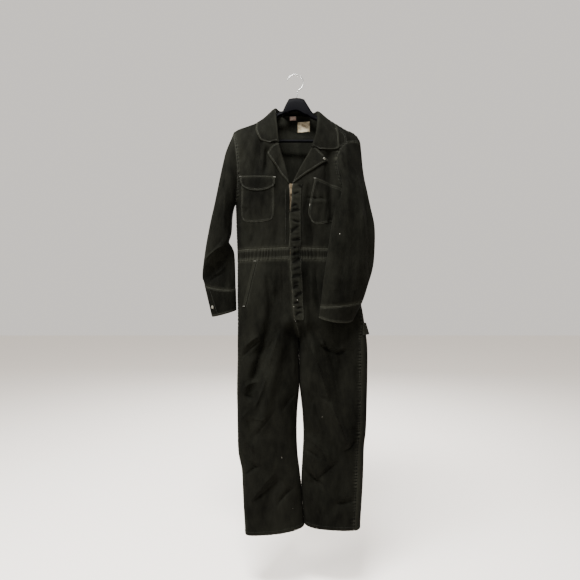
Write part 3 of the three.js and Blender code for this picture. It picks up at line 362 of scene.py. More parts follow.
def back_grid(side, across, row):
    """Half of the back: across 0 is the centre and 1 the side seam."""
    centre_down = mix(WAIST_TOP, CENTRE_TOP, row)
    inner = trunk("centre", centre_down), centre_down
    outer = outer_edge(side, row, "back")
    x, down = bodice_place(inner, outer, across, row)
    neck_x = bodice_place(inner, outer, NECK_SHARE, row)[0]
    hat = np.where(across < NECK_SHARE, across / NECK_SHARE, (1 - across) / (1 - NECK_SHARE))
    x = x + (NECK[side] - neck_x) * hat * smooth(0.8, 1, row)
    down = np.where(row >= 1, ridge(x), down)
    return place(x, np.where((row >= 1) & (across >= NECK_SHARE), 0, back_y(x, down)), down)


# How a sewn layer is made into a mesh: two faces a cloth's thickness apart, and its edges
EDGE_STEPS = [0, 0.006, 0.013, 0.022, 0.031, 0.042, 0.056, 0.074]
FACING = {"front": np.array([0, -1, 0]), "back": np.array([0, 1, 0])}


def graded(count, first=True):
    """Shares from 0 to 1, closer together near a sewn edge."""
    low = EDGE_STEPS if first else [0]
    high = [1 - s for s in reversed(EDGE_STEPS)]
    return np.array([*low[:-1], *np.linspace(low[-1], high[0], count), *high[1:]])


def turned_to(edge, grid):
    """The grid turned so that the named edge is its first column."""
    if edge in ("bottom", "top"):
        grid = grid.swapaxes(0, 1)
    return grid[:, ::-1] if edge in ("right", "top") else grid


def turned_back(edge, grid):
    """Undoes turned_to."""
    grid = grid[:, ::-1] if edge in ("right", "top") else grid
    return grid.swapaxes(0, 1) if edge in ("bottom", "top") else grid


def from_edge(p, edge):
    """How far each point lies from an edge and along it, measured on the cloth."""
    q = turned_to(edge, p)
    across = np.linalg.norm(np.diff(q, axis=1), axis=2)
    distance = np.concatenate([np.zeros((len(q), 1)), np.cumsum(across, axis=1)], axis=1)
    run = np.linalg.norm(np.diff(q[:, 0], axis=0), axis=1)
    along = np.concatenate([[0], np.cumsum(run)])[:, None] + 0 * distance
    return turned_back(edge, distance), turned_back(edge, along)


def normals(p, facing, closed):
    """Normals on the side that faces out, and -1 where the grid's own face in."""
    if closed:
        wide = np.concatenate([p[:, -1:], p, p[:, :1]], axis=1)
        across = np.gradient(wide, axis=1)[:, 1:-1]
    else:
        across = np.gradient(p, axis=1)
    up = np.gradient(p, axis=0)
    n = np.cross(across, up)
    n /= np.maximum(np.linalg.norm(n, axis=2, keepdims=True), 1e-9)
    if facing in FACING:
        outward = (n @ FACING[facing]).sum()
    elif facing == "round":
        outward = ((p - p.mean(axis=1, keepdims=True)) * n).sum()
    else:
        outward = facing
    return (n, 1) if outward > 0 else (-n, -1)


PUCKER_PITCH = 10.5
FELL_WIDE, FELL_HIGH = 12, 0.9
DIMPLE_AT, DIMPLE_WIDE, DIMPLE_DEEP = 5.2, 2.4, 1.9
DRAWN_AT, DRAWN_HIGH = 10, 0.7
DIP_WIDE = 1.3


def pucker(along):
    """The uneven wave that two rows of shrunk stitches draw up along a seam, from -1 to 1."""
    uneven = along + 3.4 * np.sin(along / 23) + 1.9 * np.sin(along / 9.7)
    return np.sin(uneven * 2 * np.pi / PUCKER_PITCH)


def felled(p, edge, facing, span=(0, 1), sunk=0.8):
    """A twin-needle seam along an edge: a raised band that the two rows of stitches pucker."""
    n, _ = normals(p, facing, False)
    distance, along = from_edge(p, edge)
    reach = along.max()
    on = smooth(span[0] * reach - 5, span[0] * reach + 5, along)
    on = on * smooth(span[1] * reach + 5, span[1] * reach - 5, along)
    wave = pucker(along)
    band = FELL_HIGH * smooth(0, 2, distance) * smooth(FELL_WIDE, FELL_WIDE - 2.5, distance)
    hollow = np.exp(-(((distance - DIMPLE_AT) / DIMPLE_WIDE) ** 2))
    dimple = -DIMPLE_DEEP * (0.5 - 0.5 * wave) * hollow
    drawn = DRAWN_HIGH * wave * np.exp(-np.abs(distance - DRAWN_AT) / 10)
    dip = -sunk * np.exp(-((distance / DIP_WIDE) ** 2))
    return p + n * ((band + dimple + drawn) * on + dip)[..., None]


def seamed(p, edge, facing, closed=False, pitch=16, drawn=0.4, sunk=0.8):
    """A plain seam: the edge dips under its neighbour and draws the cloth a little."""
    n, _ = normals(p, facing, closed)
    distance, along = from_edge(p, edge)
    wave = np.sin((along + 3 * np.sin(along / 31)) * 2 * np.pi / pitch)
    dip = -sunk * np.exp(-((distance / DIP_WIDE) ** 2))
    return p + n * (dip + drawn * wave * np.exp(-distance / 10))[..., None]


def drawn_in(p, closed=False):
    """The panel's edges drawn in from the seam line, so that neighbours stay apart."""
    moved = p.copy()
    for edge in ("bottom", "top") if closed else ("bottom", "top", "left", "right"):
        source, target = turned_to(edge, p), turned_to(edge, moved)
        way = source[:, 1] - source[:, 0]
        length = np.maximum(np.linalg.norm(way, axis=1, keepdims=True), 1e-6)
        target[:, 0] += way / length * np.minimum(SEAM_INSET, length / 2)
    return moved


def object_of(name, points, faces, finish, uv=None, fade=None, sharp=50):
    """A mesh object from points in millimetres and four-sided or three-sided faces."""
    mesh = bpy.data.meshes.new(name)
    faces = [np.asarray(f, np.int32) for f in faces]
    flat = np.concatenate([f.ravel() for f in faces])
    sizes = np.concatenate([np.full(len(f), f.shape[1], np.int32) for f in faces])
    mesh.vertices.add(len(points))
    mesh.vertices.foreach_set("co", (np.asarray(points) * MM).astype(np.float32).ravel())
    mesh.loops.add(len(flat))
    mesh.loops.foreach_set("vertex_index", flat)
    mesh.polygons.add(len(sizes))
    starts = np.concatenate([[0], np.cumsum(sizes)[:-1]]).astype(np.int32)
    mesh.polygons.foreach_set("loop_start", starts)
    if uv is not None:
        thread_run = mesh.uv_layers.new(name="cloth")
        thread_run.data.foreach_set("uv", (np.concatenate(uv) * MM).astype(np.float32).ravel())
    # The fade attribute: paler worn places, and painted shade where a puckered seam or the placket
    # dips.
    if fade is not None:
        wear_and_shade = mesh.attributes.new("fade", "FLOAT", "POINT")
        wear_and_shade.data.foreach_set("value", np.asarray(fade, np.float32).ravel())
    mesh.update(calc_edges=True)
    mesh.validate()
    mesh.shade_smooth()
    mesh.set_sharp_from_angle(angle=math.radians(sharp))
    obj = bpy.data.objects.new(name, mesh)
    bpy.context.scene.collection.objects.link(obj)
    mesh.materials.append(finish)
    return obj


def layer(name, p, thickness, facing, finish, closed=False, lift=0.0, fade=0.0):
    """One sewn layer. Returns its object, with its outer face's points and normals."""
    n, turn = normals(p, facing, closed)
    outer = p + n * np.broadcast_to(lift, p.shape[:2])[..., None]
    inner = outer - n * np.broadcast_to(thickness, p.shape[:2])[..., None]
    rows, columns = p.shape[:2]
    wide = columns if closed else columns - 1
    j, i = np.meshgrid(np.arange(rows - 1), np.arange(wide), indexing="ij")
    ahead = (i + 1) % columns
    face = np.stack([j * columns + i, j * columns + ahead, (j + 1) * columns + ahead,
                     (j + 1) * columns + i], axis=-1).reshape(-1, 4)
    second = rows * columns
    groups = [face, face[:, ::-1] + second]
    run = np.stack([np.arange(wide), (np.arange(wide) + 1) % columns], axis=1)
    for start, flip in ((0, 1), ((rows - 1) * columns, -1)):
        a, b = (start + run).T[::flip]
        groups.append(np.stack([a, a + second, b + second, b], axis=1))
    if not closed:
        climb = np.stack([np.arange(rows - 1), np.arange(1, rows)], axis=1) * columns
        for start, flip in ((0, -1), (columns - 1, 1)):
            a, b = (start + climb).T[::flip]
            groups.append(np.stack([a, a + second, b + second, b], axis=1))
    if turn < 0:
        groups = [g[:, ::-1] for g in groups]
    width = from_edge(p, "left")[0]
    length = from_edge(p, "bottom")[0]
    grid_uv = np.stack([width, length], axis=-1)
    wrap = grid_uv[:, :1].copy()
    wrap[..., 0] = width.max(axis=1, keepdims=True) + width[:, 1:2]
    corner = np.concatenate([grid_uv, wrap], axis=1)
    corners = [(j, i), (j, i + 1), (j + 1, i + 1), (j + 1, i)]
    face_uv = np.stack([corner[c] for c in corners], axis=-2).reshape(-1, 4, 2)
    flat_uv = grid_uv.reshape(-1, 2)
    if turn < 0:
        face_uv = face_uv[:, ::-1]
    uvs = [face_uv.reshape(-1, 2), face_uv[:, ::-1].reshape(-1, 2)]
    uvs += [flat_uv[g % second].reshape(-1, 2) for g in groups[2:]]
    shade = np.broadcast_to(fade, p.shape[:2]).ravel()
    obj = object_of(name, np.concatenate([outer.reshape(-1, 3), inner.reshape(-1, 3)]), groups,
                    finish, uvs, np.concatenate([shade, shade]))
    return dict(obj=obj, points=outer, normals=n, closed=closed)


def drill_cloth(name, dark, worn, mottle):
    """Piece-dyed cotton drill: diagonal weave, slubs, faded seams and a few pale specks. The fade
    attribute also carries painted shade in the seams' pucker dimples, and painted shade and highlight
    over the fly placket's puckers.
    """
    finish = bpy.data.materials.new(name)
    finish.use_nodes = True
    nodes, links = finish.node_tree.nodes, finish.node_tree.links
    shader = nodes["Principled BSDF"]
    shader.inputs["Roughness"].default_value = 0.86
    shader.inputs["Specular IOR Level"].default_value = 0.02
    shader.inputs["Sheen Weight"].default_value = 0.006
    shader.inputs["Sheen Roughness"].default_value = 0.55
    shader.inputs["Sheen Tint"].default_value = (0.62, 0.62, 0.54, 1)

    def node(kind, **settings):
        """A shader node, its settings and its inputs' values given by name."""
        made = nodes.new(kind)
        for key, value in settings.items():
            if hasattr(made, key):
                setattr(made, key, value)
            else:
                made.inputs[key].default_value = value
        return made

    def math_node(operation, a, b):
        """The outcome of one operation on two numbers or outputs."""
        made = node("ShaderNodeMath", operation=operation)
        for slot, value in enumerate((a, b)):
            if isinstance(value, (int, float)):
                made.inputs[slot].default_value = value
            else:
                links.new(value, made.inputs[slot])
        return made.outputs[0]

    cloth = node("ShaderNodeUVMap", uv_map="cloth").outputs["UV"]
    body = node("ShaderNodeTexCoord").outputs["Object"]
    fade = node("ShaderNodeAttribute", attribute_name="fade").outputs["Fac"]

    def noise(space, scale, detail, stretch=(1, 1, 1)):
        """Noise in the given space, drawn out along the axes whose stretch is below 1."""
        spread = node("ShaderNodeMapping")
        spread.inputs["Scale"].default_value = stretch
        links.new(space, spread.inputs["Vector"])
        made = node("ShaderNodeTexNoise", Scale=scale, Detail=detail, Roughness=0.6)
        links.new(spread.outputs["Vector"], made.inputs["Vector"])
        return made.outputs["Fac"]

    twill = node("ShaderNodeTexWave", wave_type="BANDS", bands_direction="DIAGONAL", Scale=430,
                 Distortion=0.6, Detail=1.0)
    links.new(cloth, twill.inputs["Vector"])
    slubs = noise(cloth, 900, 3, (0.25, 1, 1))
    patches = noise(body, 9, 4, (1, 1, 0.55))
    wear = noise(body, 60, 5, (1, 1, 0.4))
    pucker_wear = noise(cloth, 240, 3)
    lint = node("ShaderNodeTexVoronoi", feature="F1", Scale=26, Randomness=1.0)
    links.new(body, lint.inputs["Vector"])
    speck = math_node("LESS_THAN", lint.outputs["Distance"], 0.028)
    few = math_node("GREATER_THAN", lint.outputs["Color"], 0.86)
    speck = math_node("MULTIPLY", speck, few)

    tone = node("ShaderNodeMix", data_type="RGBA")
    tone.inputs["A"].default_value = (*dark, 1)
    tone.inputs["B"].default_value = (*worn, 1)
    shade = math_node("MULTIPLY", math_node("SUBTRACT", patches, 0.3), 1.1 * mottle)
    rubbed = math_node("MULTIPLY", math_node("SUBTRACT", wear, 0.45), 0.5 * mottle)
    # The fade attribute: paler worn seams, plus painted shade in pucker dimples and painted shade and
    # highlight on the placket's puckers.
    seam_wear_and_shade = math_node("MULTIPLY", fade, math_node("ADD", pucker_wear, 0.25))
    total = math_node("ADD", math_node("ADD", shade, rubbed), seam_wear_and_shade)
    weave_light = math_node("MULTIPLY", math_node("SUBTRACT", twill.outputs["Fac"], 0.5), 0.1)
    total = math_node("ADD", total, weave_light)
    total = math_node("ADD", total, math_node("MULTIPLY", math_node("SUBTRACT", slubs, 0.5), 0.16))
    limit = node("ShaderNodeClamp")
    links.new(total, limit.inputs["Value"])
    links.new(limit.outputs["Result"], tone.inputs["Factor"])
    spotted = node("ShaderNodeMix", data_type="RGBA")
    spotted.inputs["B"].default_value = (0.32, 0.31, 0.27, 1)
    links.new(speck, spotted.inputs["Factor"])
    links.new(tone.outputs["Result"], spotted.inputs["A"])
    links.new(spotted.outputs["Result"], shader.inputs["Base Color"])

    relief = math_node("ADD", math_node("MULTIPLY", twill.outputs["Fac"], 0.6), slubs)
    weave_bump = node("ShaderNodeBump", Strength=0.35, Distance=0.0003)
    links.new(relief, weave_bump.inputs["Height"])
    crumple = noise(body, 45, 4, (1, 1, 0.6))
    crumple_bump = node("ShaderNodeBump", Strength=0.5, Distance=0.0035)
    links.new(crumple, crumple_bump.inputs["Height"])
    links.new(weave_bump.outputs["Normal"], crumple_bump.inputs["Normal"])
    links.new(crumple_bump.outputs["Normal"], shader.inputs["Normal"])
    return finish


drill = drill_cloth("drill", dark=(0.0010, 0.0010, 0.0007), worn=(0.0200, 0.0203, 0.0150),
                    mottle=0.5)


def cotton_thread(name, colour):
    """Faded polyester-cotton topstitching thread."""
    finish = bpy.data.materials.new(name)
    finish.use_nodes = True
    nodes, links = finish.node_tree.nodes, finish.node_tree.links
    shader = nodes["Principled BSDF"]
    shader.inputs["Roughness"].default_value = 0.8
    shader.inputs["Specular IOR Level"].default_value = 0.2
    noise = nodes.new("ShaderNodeTexNoise")
    noise.inputs["Scale"].default_value = 55
    ramp = nodes.new("ShaderNodeValToRGB")
    ramp.color_ramp.elements[0].position = 0.35
    ramp.color_ramp.elements[0].color = (*[c * 0.35 for c in colour], 1)
    ramp.color_ramp.elements[1].position = 0.62
    ramp.color_ramp.elements[1].color = (*colour, 1)
    place_node = nodes.new("ShaderNodeTexCoord")
    links.new(place_node.outputs["Object"], noise.inputs["Vector"])
    links.new(noise.outputs["Fac"], ramp.inputs["Fac"])
    links.new(ramp.outputs["Color"], shader.inputs["Base Color"])
    return finish


thread = cotton_thread("thread", (0.027, 0.028, 0.022))
STITCH = dict(pitch=4.2, long=2.9, wide=0.75, high=0.6)
FELL_ROWS, TWIN_ROWS = (2.6, 8.8), (3.0, 9.0)


def edge_line(sewn, edge, inset, start=0.0, end=1.0):
    """Points and normals a little inside one edge of a layer, from a share of it to another."""
    p, n = turned_to(edge, sewn["points"]), turned_to(edge, sewn["normals"])
    step = np.linalg.norm(np.diff(p, axis=1), axis=2)
    distance = np.concatenate([np.zeros((len(p), 1)), np.cumsum(step, axis=1)], axis=1)
    k = np.clip((distance < inset).sum(axis=1) - 1, 0, p.shape[1] - 2)
    row = np.arange(len(p))
    gap = np.maximum(distance[row, k + 1] - distance[row, k], 1e-6)
    t = np.clip((inset - distance[row, k]) / gap, 0, 1)[:, None]
    line = mix(p[row, k], p[row, k + 1], t)
    facing = mix(n[row, k], n[row, k + 1], t)
    first, last = round(start * (len(p) - 1)), round(end * (len(p) - 1))
    return line[first:last + 1], facing[first:last + 1]


def stitches(name, lines, finish=thread, **sizes):
    """Rows of lockstitches, each a small raised loop of thread, along lines on the cloth."""
    size = {**STITCH, **sizes}
    points, faces = [], []
    for line, facing in lines:
        run = np.concatenate([[0], np.cumsum(np.linalg.norm(np.diff(line, axis=0), axis=1))])
        centres = np.arange(size["pitch"] / 2, run[-1], size["pitch"])
        if len(centres) == 0:
            continue

        def at(values, where):
            """Values along the line, read at the given distances."""
            return np.stack([np.interp(where, run, values[:, k]) for k in range(3)], axis=1)

        half = size["long"] / 2
        a, b = at(line, centres - half), at(line, centres + half)
        way = (b - a) / np.maximum(np.linalg.norm(b - a, axis=1, keepdims=True), 1e-6)
        up = at(facing, centres)
        up /= np.linalg.norm(up, axis=1, keepdims=True)
        beside = np.cross(way, up)
        middle = at(line, centres)
        high, wide = up * size["high"] / 2, beside * size["wide"] / 2
        ring = [wide, high, -wide, -high]
        tube = [a + high * 0.2]
        tube += [middle - way * half * 0.5 + high * 0.8 + r for r in ring]
        tube += [middle + way * half * 0.5 + high * 0.8 + r for r in ring]
        tube += [b + high * 0.2]
        base = sum(len(p) for p in points)
        points.append(np.stack(tube, axis=1).reshape(-1, 3))
        first = base + 10 * np.arange(len(centres))[:, None]
        for k in range(4):
            m = (k + 1) % 4
            faces.append(first + [0, 1 + m, 1 + k])
            faces.append(first + [1 + k, 1 + m, 5 + m])
            faces.append(first + [1 + k, 5 + m, 5 + k])
            faces.append(first + [9, 5 + k, 5 + m])
    obj = object_of(name, np.concatenate(points), faces, finish, sharp=80)
    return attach(obj, "suit")


def cut_of(sewn):
    """Measures a layer's cut along its own threads, and gives the layer back as it is."""
    p = sewn["points"]
    wide = np.linalg.norm(np.diff(p, axis=1), axis=2).sum(axis=1).max()
    if sewn["closed"]:
        wide += np.linalg.norm(p[:, -1] - p[:, 0], axis=1).max()
    long = np.linalg.norm(np.diff(p, axis=0), axis=2).sum(axis=0).max()
    ring = np.concatenate([p, p[:, :1]], axis=1) if sewn["closed"] else p
    u, v = np.diff(ring, axis=1)[:-1], np.diff(ring, axis=0)[:, :-1]
    return sewn


def sewn_piece(node, grid, facing, held="hung", rests_on=(), thickness=CLOTH, **rest):
    """A cloth piece in the place of its solid: made, with the solid hidden, and riding on the suit."""
    sewn = layer(f"{node}_cloth", grid, thickness, facing, drill, **rest)
    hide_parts(node)
    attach(sewn["obj"], "suit")
    return cut_of(sewn)


def wear_and_dimple_shade_at(p, *edges, strength, reach=11, puckered=False):
    """Fading beside the named edges, where washing has rubbed the seam's high places. When puckered,
    it also paints shade into the pucker dimples between the rows of stitches.
    """
    fade = np.zeros(p.shape[:2])
    for edge in edges:
        distance, along = from_edge(p, edge)
        rubbed = strength * np.exp(-((distance / reach) ** 2))
        if puckered:
            wave = pucker(along)
            rubbed = rubbed * (0.42 + 0.58 * wave)
            # Painted shade: darker in the pucker dimples, where the seam's hollows are in shade.
            rubbed -= 0.9 * np.clip(-wave, 0, 1) * np.exp(-(((distance - 5.6) / 3) ** 2))
            rubbed *= 0.62 + 0.25 * np.sin(along / 31 + 1) + 0.25 * np.sin(along / 13.7)
        fade = fade + rubbed
    return fade


# Rows up the bodice: even to the shoulder, then closer together where the cloth rolls over it
rolling = 1 - 0.2 * (1 - np.cos(np.linspace(np.pi / 2, 0, 36)))
climbing = np.concatenate([[0, 0.003, 0.007, 0.012, 0.018], np.arange(0.025, 0.8, 0.0068)])
bodice_rows = np.concatenate([climbing, rolling[rolling > climbing[-1] + 0.002]])[:, None]
front_across = graded(44)
back_half = graded(42, first=False)
fronts = {}
for side in (RIGHT, LEFT):
    grid = front_grid(side, front_across[None, :], bodice_rows)
    grid = drawn_in(grid)
    grid = felled(grid, "right", "front", sunk=0.1)
    grid = seamed(grid, "top", "front")
    grid = seamed(grid, "bottom", "front", pitch=13, drawn=1.2)
    name = f"front_bodice_{SIDE_NAME[side]}"
    # Paler rubbed crests along the felled side seam, with painted shade in its pucker dimples.
    fade = wear_and_dimple_shade_at(grid, "right", strength=1.1, puckered=True)
    fade += wear_and_dimple_shade_at(grid, "top", "bottom", reach=6, strength=0.3)
    fronts[side] = sewn_piece(name, grid, "front", rests_on=["hanger_body"], fade=fade)
halves = {}
for side in (RIGHT, LEFT):
    halves[side] = back_grid(side, back_half[None, :], bodice_rows)
grid = np.concatenate([halves[RIGHT][:, :0:-1], halves[LEFT]], axis=1)
grid = drawn_in(grid)
for edge in ("left", "right", "top"):
    grid = seamed(grid, edge, "back", sunk=0.1)
grid = seamed(grid, "bottom", "back", pitch=14, drawn=1.1)
back = sewn_piece("back_bodice", grid, "back", rests_on=["hanger_body"],
                  fade=wear_and_dimple_shade_at(grid, "left", "right", "top", "bottom", reach=6, strength=0.4))
lines = []
for side in (RIGHT, LEFT):
    lines += [edge_line(fronts[side], "right", inset) for inset in FELL_ROWS]
    lines += [edge_line(fronts[side], "top", inset) for inset in TWIN_ROWS]
ZIP_STITCH_IN = 15
lines.append(edge_line(fronts[RIGHT], "left", ZIP_STITCH_IN, 0.04, 0.5))
# The seam that shows from the collar's edge to the sleeve's head, in front of the left shoulder
SHOULDER_SEAM = [(126, 190), (175, 228), (178, 250), (178, 284)]
seam_x, seam_down = np.array(SHOULDER_SEAM, float).T
for beside in (-2.6, 2.6):
    step = np.linspace(0, len(SHOULDER_SEAM) - 1, 60)
    x = np.interp(step, np.arange(len(SHOULDER_SEAM)), seam_x + beside)
    down = np.interp(step, np.arange(len(SHOULDER_SEAM)), seam_down - beside * 0.6)
    base = place(x, front_y(x, down) - 0.4, down)
    lines.append((base, np.broadcast_to([0.1, -0.9, 0.4], base.shape)))
stitches("front_stitching", lines)
lines = [edge_line(back, edge, inset) for edge in ("left", "right") for inset in TWIN_ROWS]
lines += [edge_line(back, "top", inset, a, b) for inset in TWIN_ROWS
          for a, b in ((0.02, 0.34), (0.66, 0.98))]
stitches("back_stitching", lines)


# Chest pockets and flap: patches of the same drill, turned under and stitched round their
# edges. The wearer's right pocket has a rounded flap, tacked at its top corners.
PATCH_THICK = 1.1
POCKET_LIFT, FLAP_LIFT = 1.9, 4.2


def even_line(points, shares):
    """A smooth line through a few points, at the given shares of its length."""
    points = np.array(points, float)
    chord = np.concatenate([[0], np.cumsum(np.linalg.norm(np.diff(points, axis=0), axis=1))])
    read = reader(["at", "x", "down"], np.column_stack([chord, points]))
    fine = np.linspace(0, chord[-1], 400)
    line = np.stack([read("x", fine), read("down", fine)], axis=1)
    run = np.concatenate([[0], np.cumsum(np.linalg.norm(np.diff(line, axis=0), axis=1))])
    return np.stack([np.interp(shares * run[-1], run, line[:, k]) for k in (0, 1)], axis=1)


def cut_shape(left, right, top, bottom, across, up):
    """x and down over a shape with four edges; left and right run up, top and bottom across."""
    a, b = even_line(left, up)[:, None], even_line(right, up)[:, None]
    c, d = even_line(bottom, across)[None], even_line(top, across)[None]
    u, v = across[None, :, None], up[:, None, None]
    corners = mix(mix(c[:, :1], c[:, -1:], u), mix(d[:, :1], d[:, -1:], u), v)
    flat = mix(a, b, u) + mix(c, d, v) - corners
    return flat[..., 0], flat[..., 1]


def laid_on_front(x, down, lift, crease_rows=()):
    """A layer lying on a front: the front's own points, moved out."""
    base = place(x, front_y(x, down), down)
    n, _ = normals(base, "front", False)
    if crease_rows:
        lift = lift + creases_at(crease_rows, x, down)
    return base + n * np.broadcast_to(lift, x.shape)[..., None]


def edge_share(p, *edges, reach):
    """1 well inside a layer, falling to 0 at the named edges."""
    share = np.ones(p.shape[:2])
    for edge in edges:
        share = share * smooth(0, reach, from_edge(p, edge)[0])
    return share


def pocket(name, crease_rows, stitched, lift, **edges):
    """A patch of drill on a front, raised between its stitched edges."""
    across, up = graded(26), graded(30)
    x, down = cut_shape(across=across, up=up, **edges)
    base = laid_on_front(x, down, 0)
    inside = edge_share(base, *stitched, reach=16)
    raised = lift - 0.5 + inside
    grid = laid_on_front(x, down, raised, crease_rows)
    for edge in stitched:
        grid = seamed(grid, edge, "front", pitch=12, drawn=0.35)
    fade = wear_and_dimple_shade_at(grid, "left", "right", "top", "bottom", reach=7, strength=0.3)
    return sewn_piece(name, grid, "front", "laid", [f"front_bodice_{name.split('_')[-1]}"],
                      PATCH_THICK, fade=fade)


right_pocket = pocket(
    "chest_pocket_right",
    [[-178, 452, -170, 530, 4, 6, 1.6], [-152, 440, -160, 548, -4, 7, -1.6],
     [-136, 440, -128, 545, 3, 7, 1.5], [-112, 440, -116, 545, -3, 7, -1.4],
     [-196, 492, -176, 500, 3, 4, 2], [-192, 520, -164, 496, -3, 4, -1.6]],
    ["left", "right", "bottom"], POCKET_LIFT,
    left=[(-190, 541), (-197, 520), (-196, 394)], right=[(-86, 539), (-79, 520), (-79, 394)],
    top=[(-196, 394), (-79, 394)],
    bottom=[(-190, 541), (-178, 549), (-139, 552), (-98, 547), (-86, 539)])
left_pocket = pocket(
    "chest_pocket_left",
    [[60, 420, 56, 500, 4, 5, 1.8], [80, 410, 70, 470, -4, 6, -2.4], [100, 424, 96, 548, 5, 7, 1.8],
     [50, 470, 90, 464, -4, 4, -2.4], [60, 482, 104, 486, 3, 4, 1.8], [78, 500, 84, 556, 3, 6, -1.5],
     [120, 430, 126, 540, -4, 7, -2]],
    ["left", "bottom", "right"], POCKET_LIFT,
    left=[(56, 550), (43, 522), (44, 500), (66, 393)], right=[(158, 541), (166, 528), (168, 431)],
    top=[(66, 393), (168, 431)], bottom=[(56, 550), (76, 560), (122, 551), (158, 541)])
flap = pocket(
    "chest_flap_right", [[-150, 392, -146, 436, 2, 6, 0.9], [-100, 392, -104, 430, -2, 5, -0.8]],
    ["top"], FLAP_LIFT,
    left=[(-190, 421), (-199, 405), (-199, 383)], right=[(-83, 424), (-76, 410), (-77, 389)],
    top=[(-199, 383), (-137, 386), (-77, 389)],
    bottom=[(-190, 421), (-170, 434), (-135, 440), (-102, 435), (-83, 424)])
lines = []
for edge in ("left", "right", "bottom"):
    lines += [edge_line(right_pocket, edge, inset) for inset in (2.2, 7.5)]
    lines += [edge_line(left_pocket, edge, inset) for inset in (2.2, 7.5)]
    lines += [edge_line(flap, edge, inset) for inset in (2.4, 6.6)]
lines += [edge_line(left_pocket, "top", inset) for inset in (2.2, 9)]
lines.append(edge_line(flap, "top", 4))
stitches("pocket_stitching", lines)


TACK = dict(pitch=1.0, long=1.5, wide=3.0, high=1.3)
TACK_ACROSS = 9
tack_thread = cotton_thread("tack_thread", (0.09, 0.09, 0.077))


def tack(sewn, edge, share):
    """A bar tack: a short dense row of stitches across a corner that takes strain."""
    line, facing = edge_line(sewn, edge, 3)
    k = round(share * (len(line) - 1))
    way = line[min(k + 1, len(line) - 1)] - line[max(k - 1, 0)]
    way = way / np.linalg.norm(way)
    steps = np.linspace(-TACK_ACROSS / 2, TACK_ACROSS / 2, 8)[:, None]
    return line[k] + way * steps, np.repeat(facing[k:k + 1], 8, axis=0)


stitches("pocket_tacks", [tack(flap, "top", 0.03), tack(flap, "top", 0.97),
                          tack(left_pocket, "top", 0.04), tack(left_pocket, "left", 0.42)],
         tack_thread, **TACK)


# Lapels: the tops of the fronts, doubled with a facing of drill and rolled back over the fronts
# along the opening. Each is stitched round its free edge and top, which the collar covers in part.
LAPEL_LIFT, LAPEL_THICK, LAPEL_PAST = 3.4, 1.6, 1.8
LAPEL_ROLL, LAPEL_SPRING, LAPEL_WAVE, LAPEL_FOOT = 4.5, 2.2, 0.8, -1.6


def lapel(side, tip_edge, top, rows):
    """A front's top rolled back at the opening, from the foot of the V to the collar's notch."""
    row = np.linspace(*rows, 40)
    roll = [(openings[side]("x", r) - side * LAPEL_PAST, openings[side]("down", r)) for r in row]
    across, up = graded(30), graded(34)
    low = [roll[0], tip_edge[0]]
    if side == RIGHT:
        x, down = cut_shape(tip_edge, roll, top[::-1], low[::-1], across, up)
        roll_edge, free = "right", "left"
    else:
        x, down = cut_shape(roll, tip_edge, top, low, across, up)
        roll_edge, free = "left", "right"
    base = place(x, front_y(x, down), down)
    distance = from_edge(base, roll_edge)[0]
    wave = LAPEL_WAVE * np.sin(down / 17) * smooth(10, 40, distance)
    spring = LAPEL_SPRING * smooth(0, 60, distance) + wave
    lift = mix(LAPEL_FOOT, LAPEL_LIFT, rolled(distance, LAPEL_ROLL)) + spring
    grid = laid_on_front(x, down, lift)
    grid = seamed(grid, free, "front", pitch=15, drawn=0.4)
    fade = wear_and_dimple_shade_at(grid, free, "top", reach=5, strength=0.36)
    fade = np.maximum(fade, 0.18 * np.exp(-distance / 5))
    name = f"lapel_{SIDE_NAME[side]}"
    return sewn_piece(name, grid, "front", "folded", [f"front_bodice_{SIDE_NAME[side]}"],
                      LAPEL_THICK, fade=fade), free


right_lapel, right_free = lapel(
    RIGHT, [(-28, 413), (-60, 372), (-87, 332), (-100, 304)], [(-62, 270), (-84, 281), (-100, 304)],
    (0.552, 0.834))
left_lapel, left_free = lapel(
    LEFT, [(-9, 413), (34, 381), (84, 349), (112, 331)], [(66, 277), (88, 301), (112, 331)],
    (0.552, 0.828))
EDGE_STITCH_IN = 5.5
lines = []
for sewn, free in ((right_lapel, right_free), (left_lapel, left_free)):
    lines += [edge_line(sewn, edge, EDGE_STITCH_IN) for edge in (free, "top")]
stitches("lapel_stitching", lines, wide=1.1)


# Collar: two layers of drill on a low stand, turned down over the shoulders. Its right-hand
# leaf has a rounded corner and its left-hand one a point, and both are stitched at the edge.
FRONT, TOP, BACK = -1, 0, 1
COLLAR_ROWS = [
    # neck x, neck down, fall's edge x, edge down, height of the roll, side of the ridge
    [-63.5, 268, -94, 269, 7, FRONT],
    [-65, 256, -123, 259, 8, FRONT],
    [-67, 240, -136, 243, 9, FRONT],
    [-69, 212, -143, 222, 11, FRONT],
    [-72, 186, -144, 204, 14, FRONT],
    [-76, 142, -140, 177, 19, TOP],
    [-73, 141, -133, 189, 19, BACK],
    [-66, 140, -118, 196, 18, BACK],
    [-40, 139, -66, 203, 17, BACK],
    [2, 138, 2, 206, 16, BACK],
    [44, 141, 70, 206, 17, BACK],
    [70, 148, 122, 202, 18, BACK],
    [76, 149, 134, 193, 18, BACK],
    [80, 150, 138, 181, 17, TOP],
    [78, 190, 147, 212, 13, FRONT],
    [75, 220, 152, 240, 10, FRONT],
    [70, 245, 152, 268, 8, FRONT],
    [64.5, 262, 149, 291, 7, FRONT],
    [57, 284, 82, 292, 6, FRONT],
]
COLLAR_CLEAR, BACK_CLEAR, STAND_IN, ROLL_RADIUS, COLLAR_THICK = 4.4, 8, 3.3, 3.2, 1.8
FALL_SHARES = [0.14, 0.32, 0.55, 0.78, 1]


def unit(v):
    """The same directions at length 1."""
    return v / np.maximum(np.linalg.norm(v, axis=-1, keepdims=True), 1e-9)


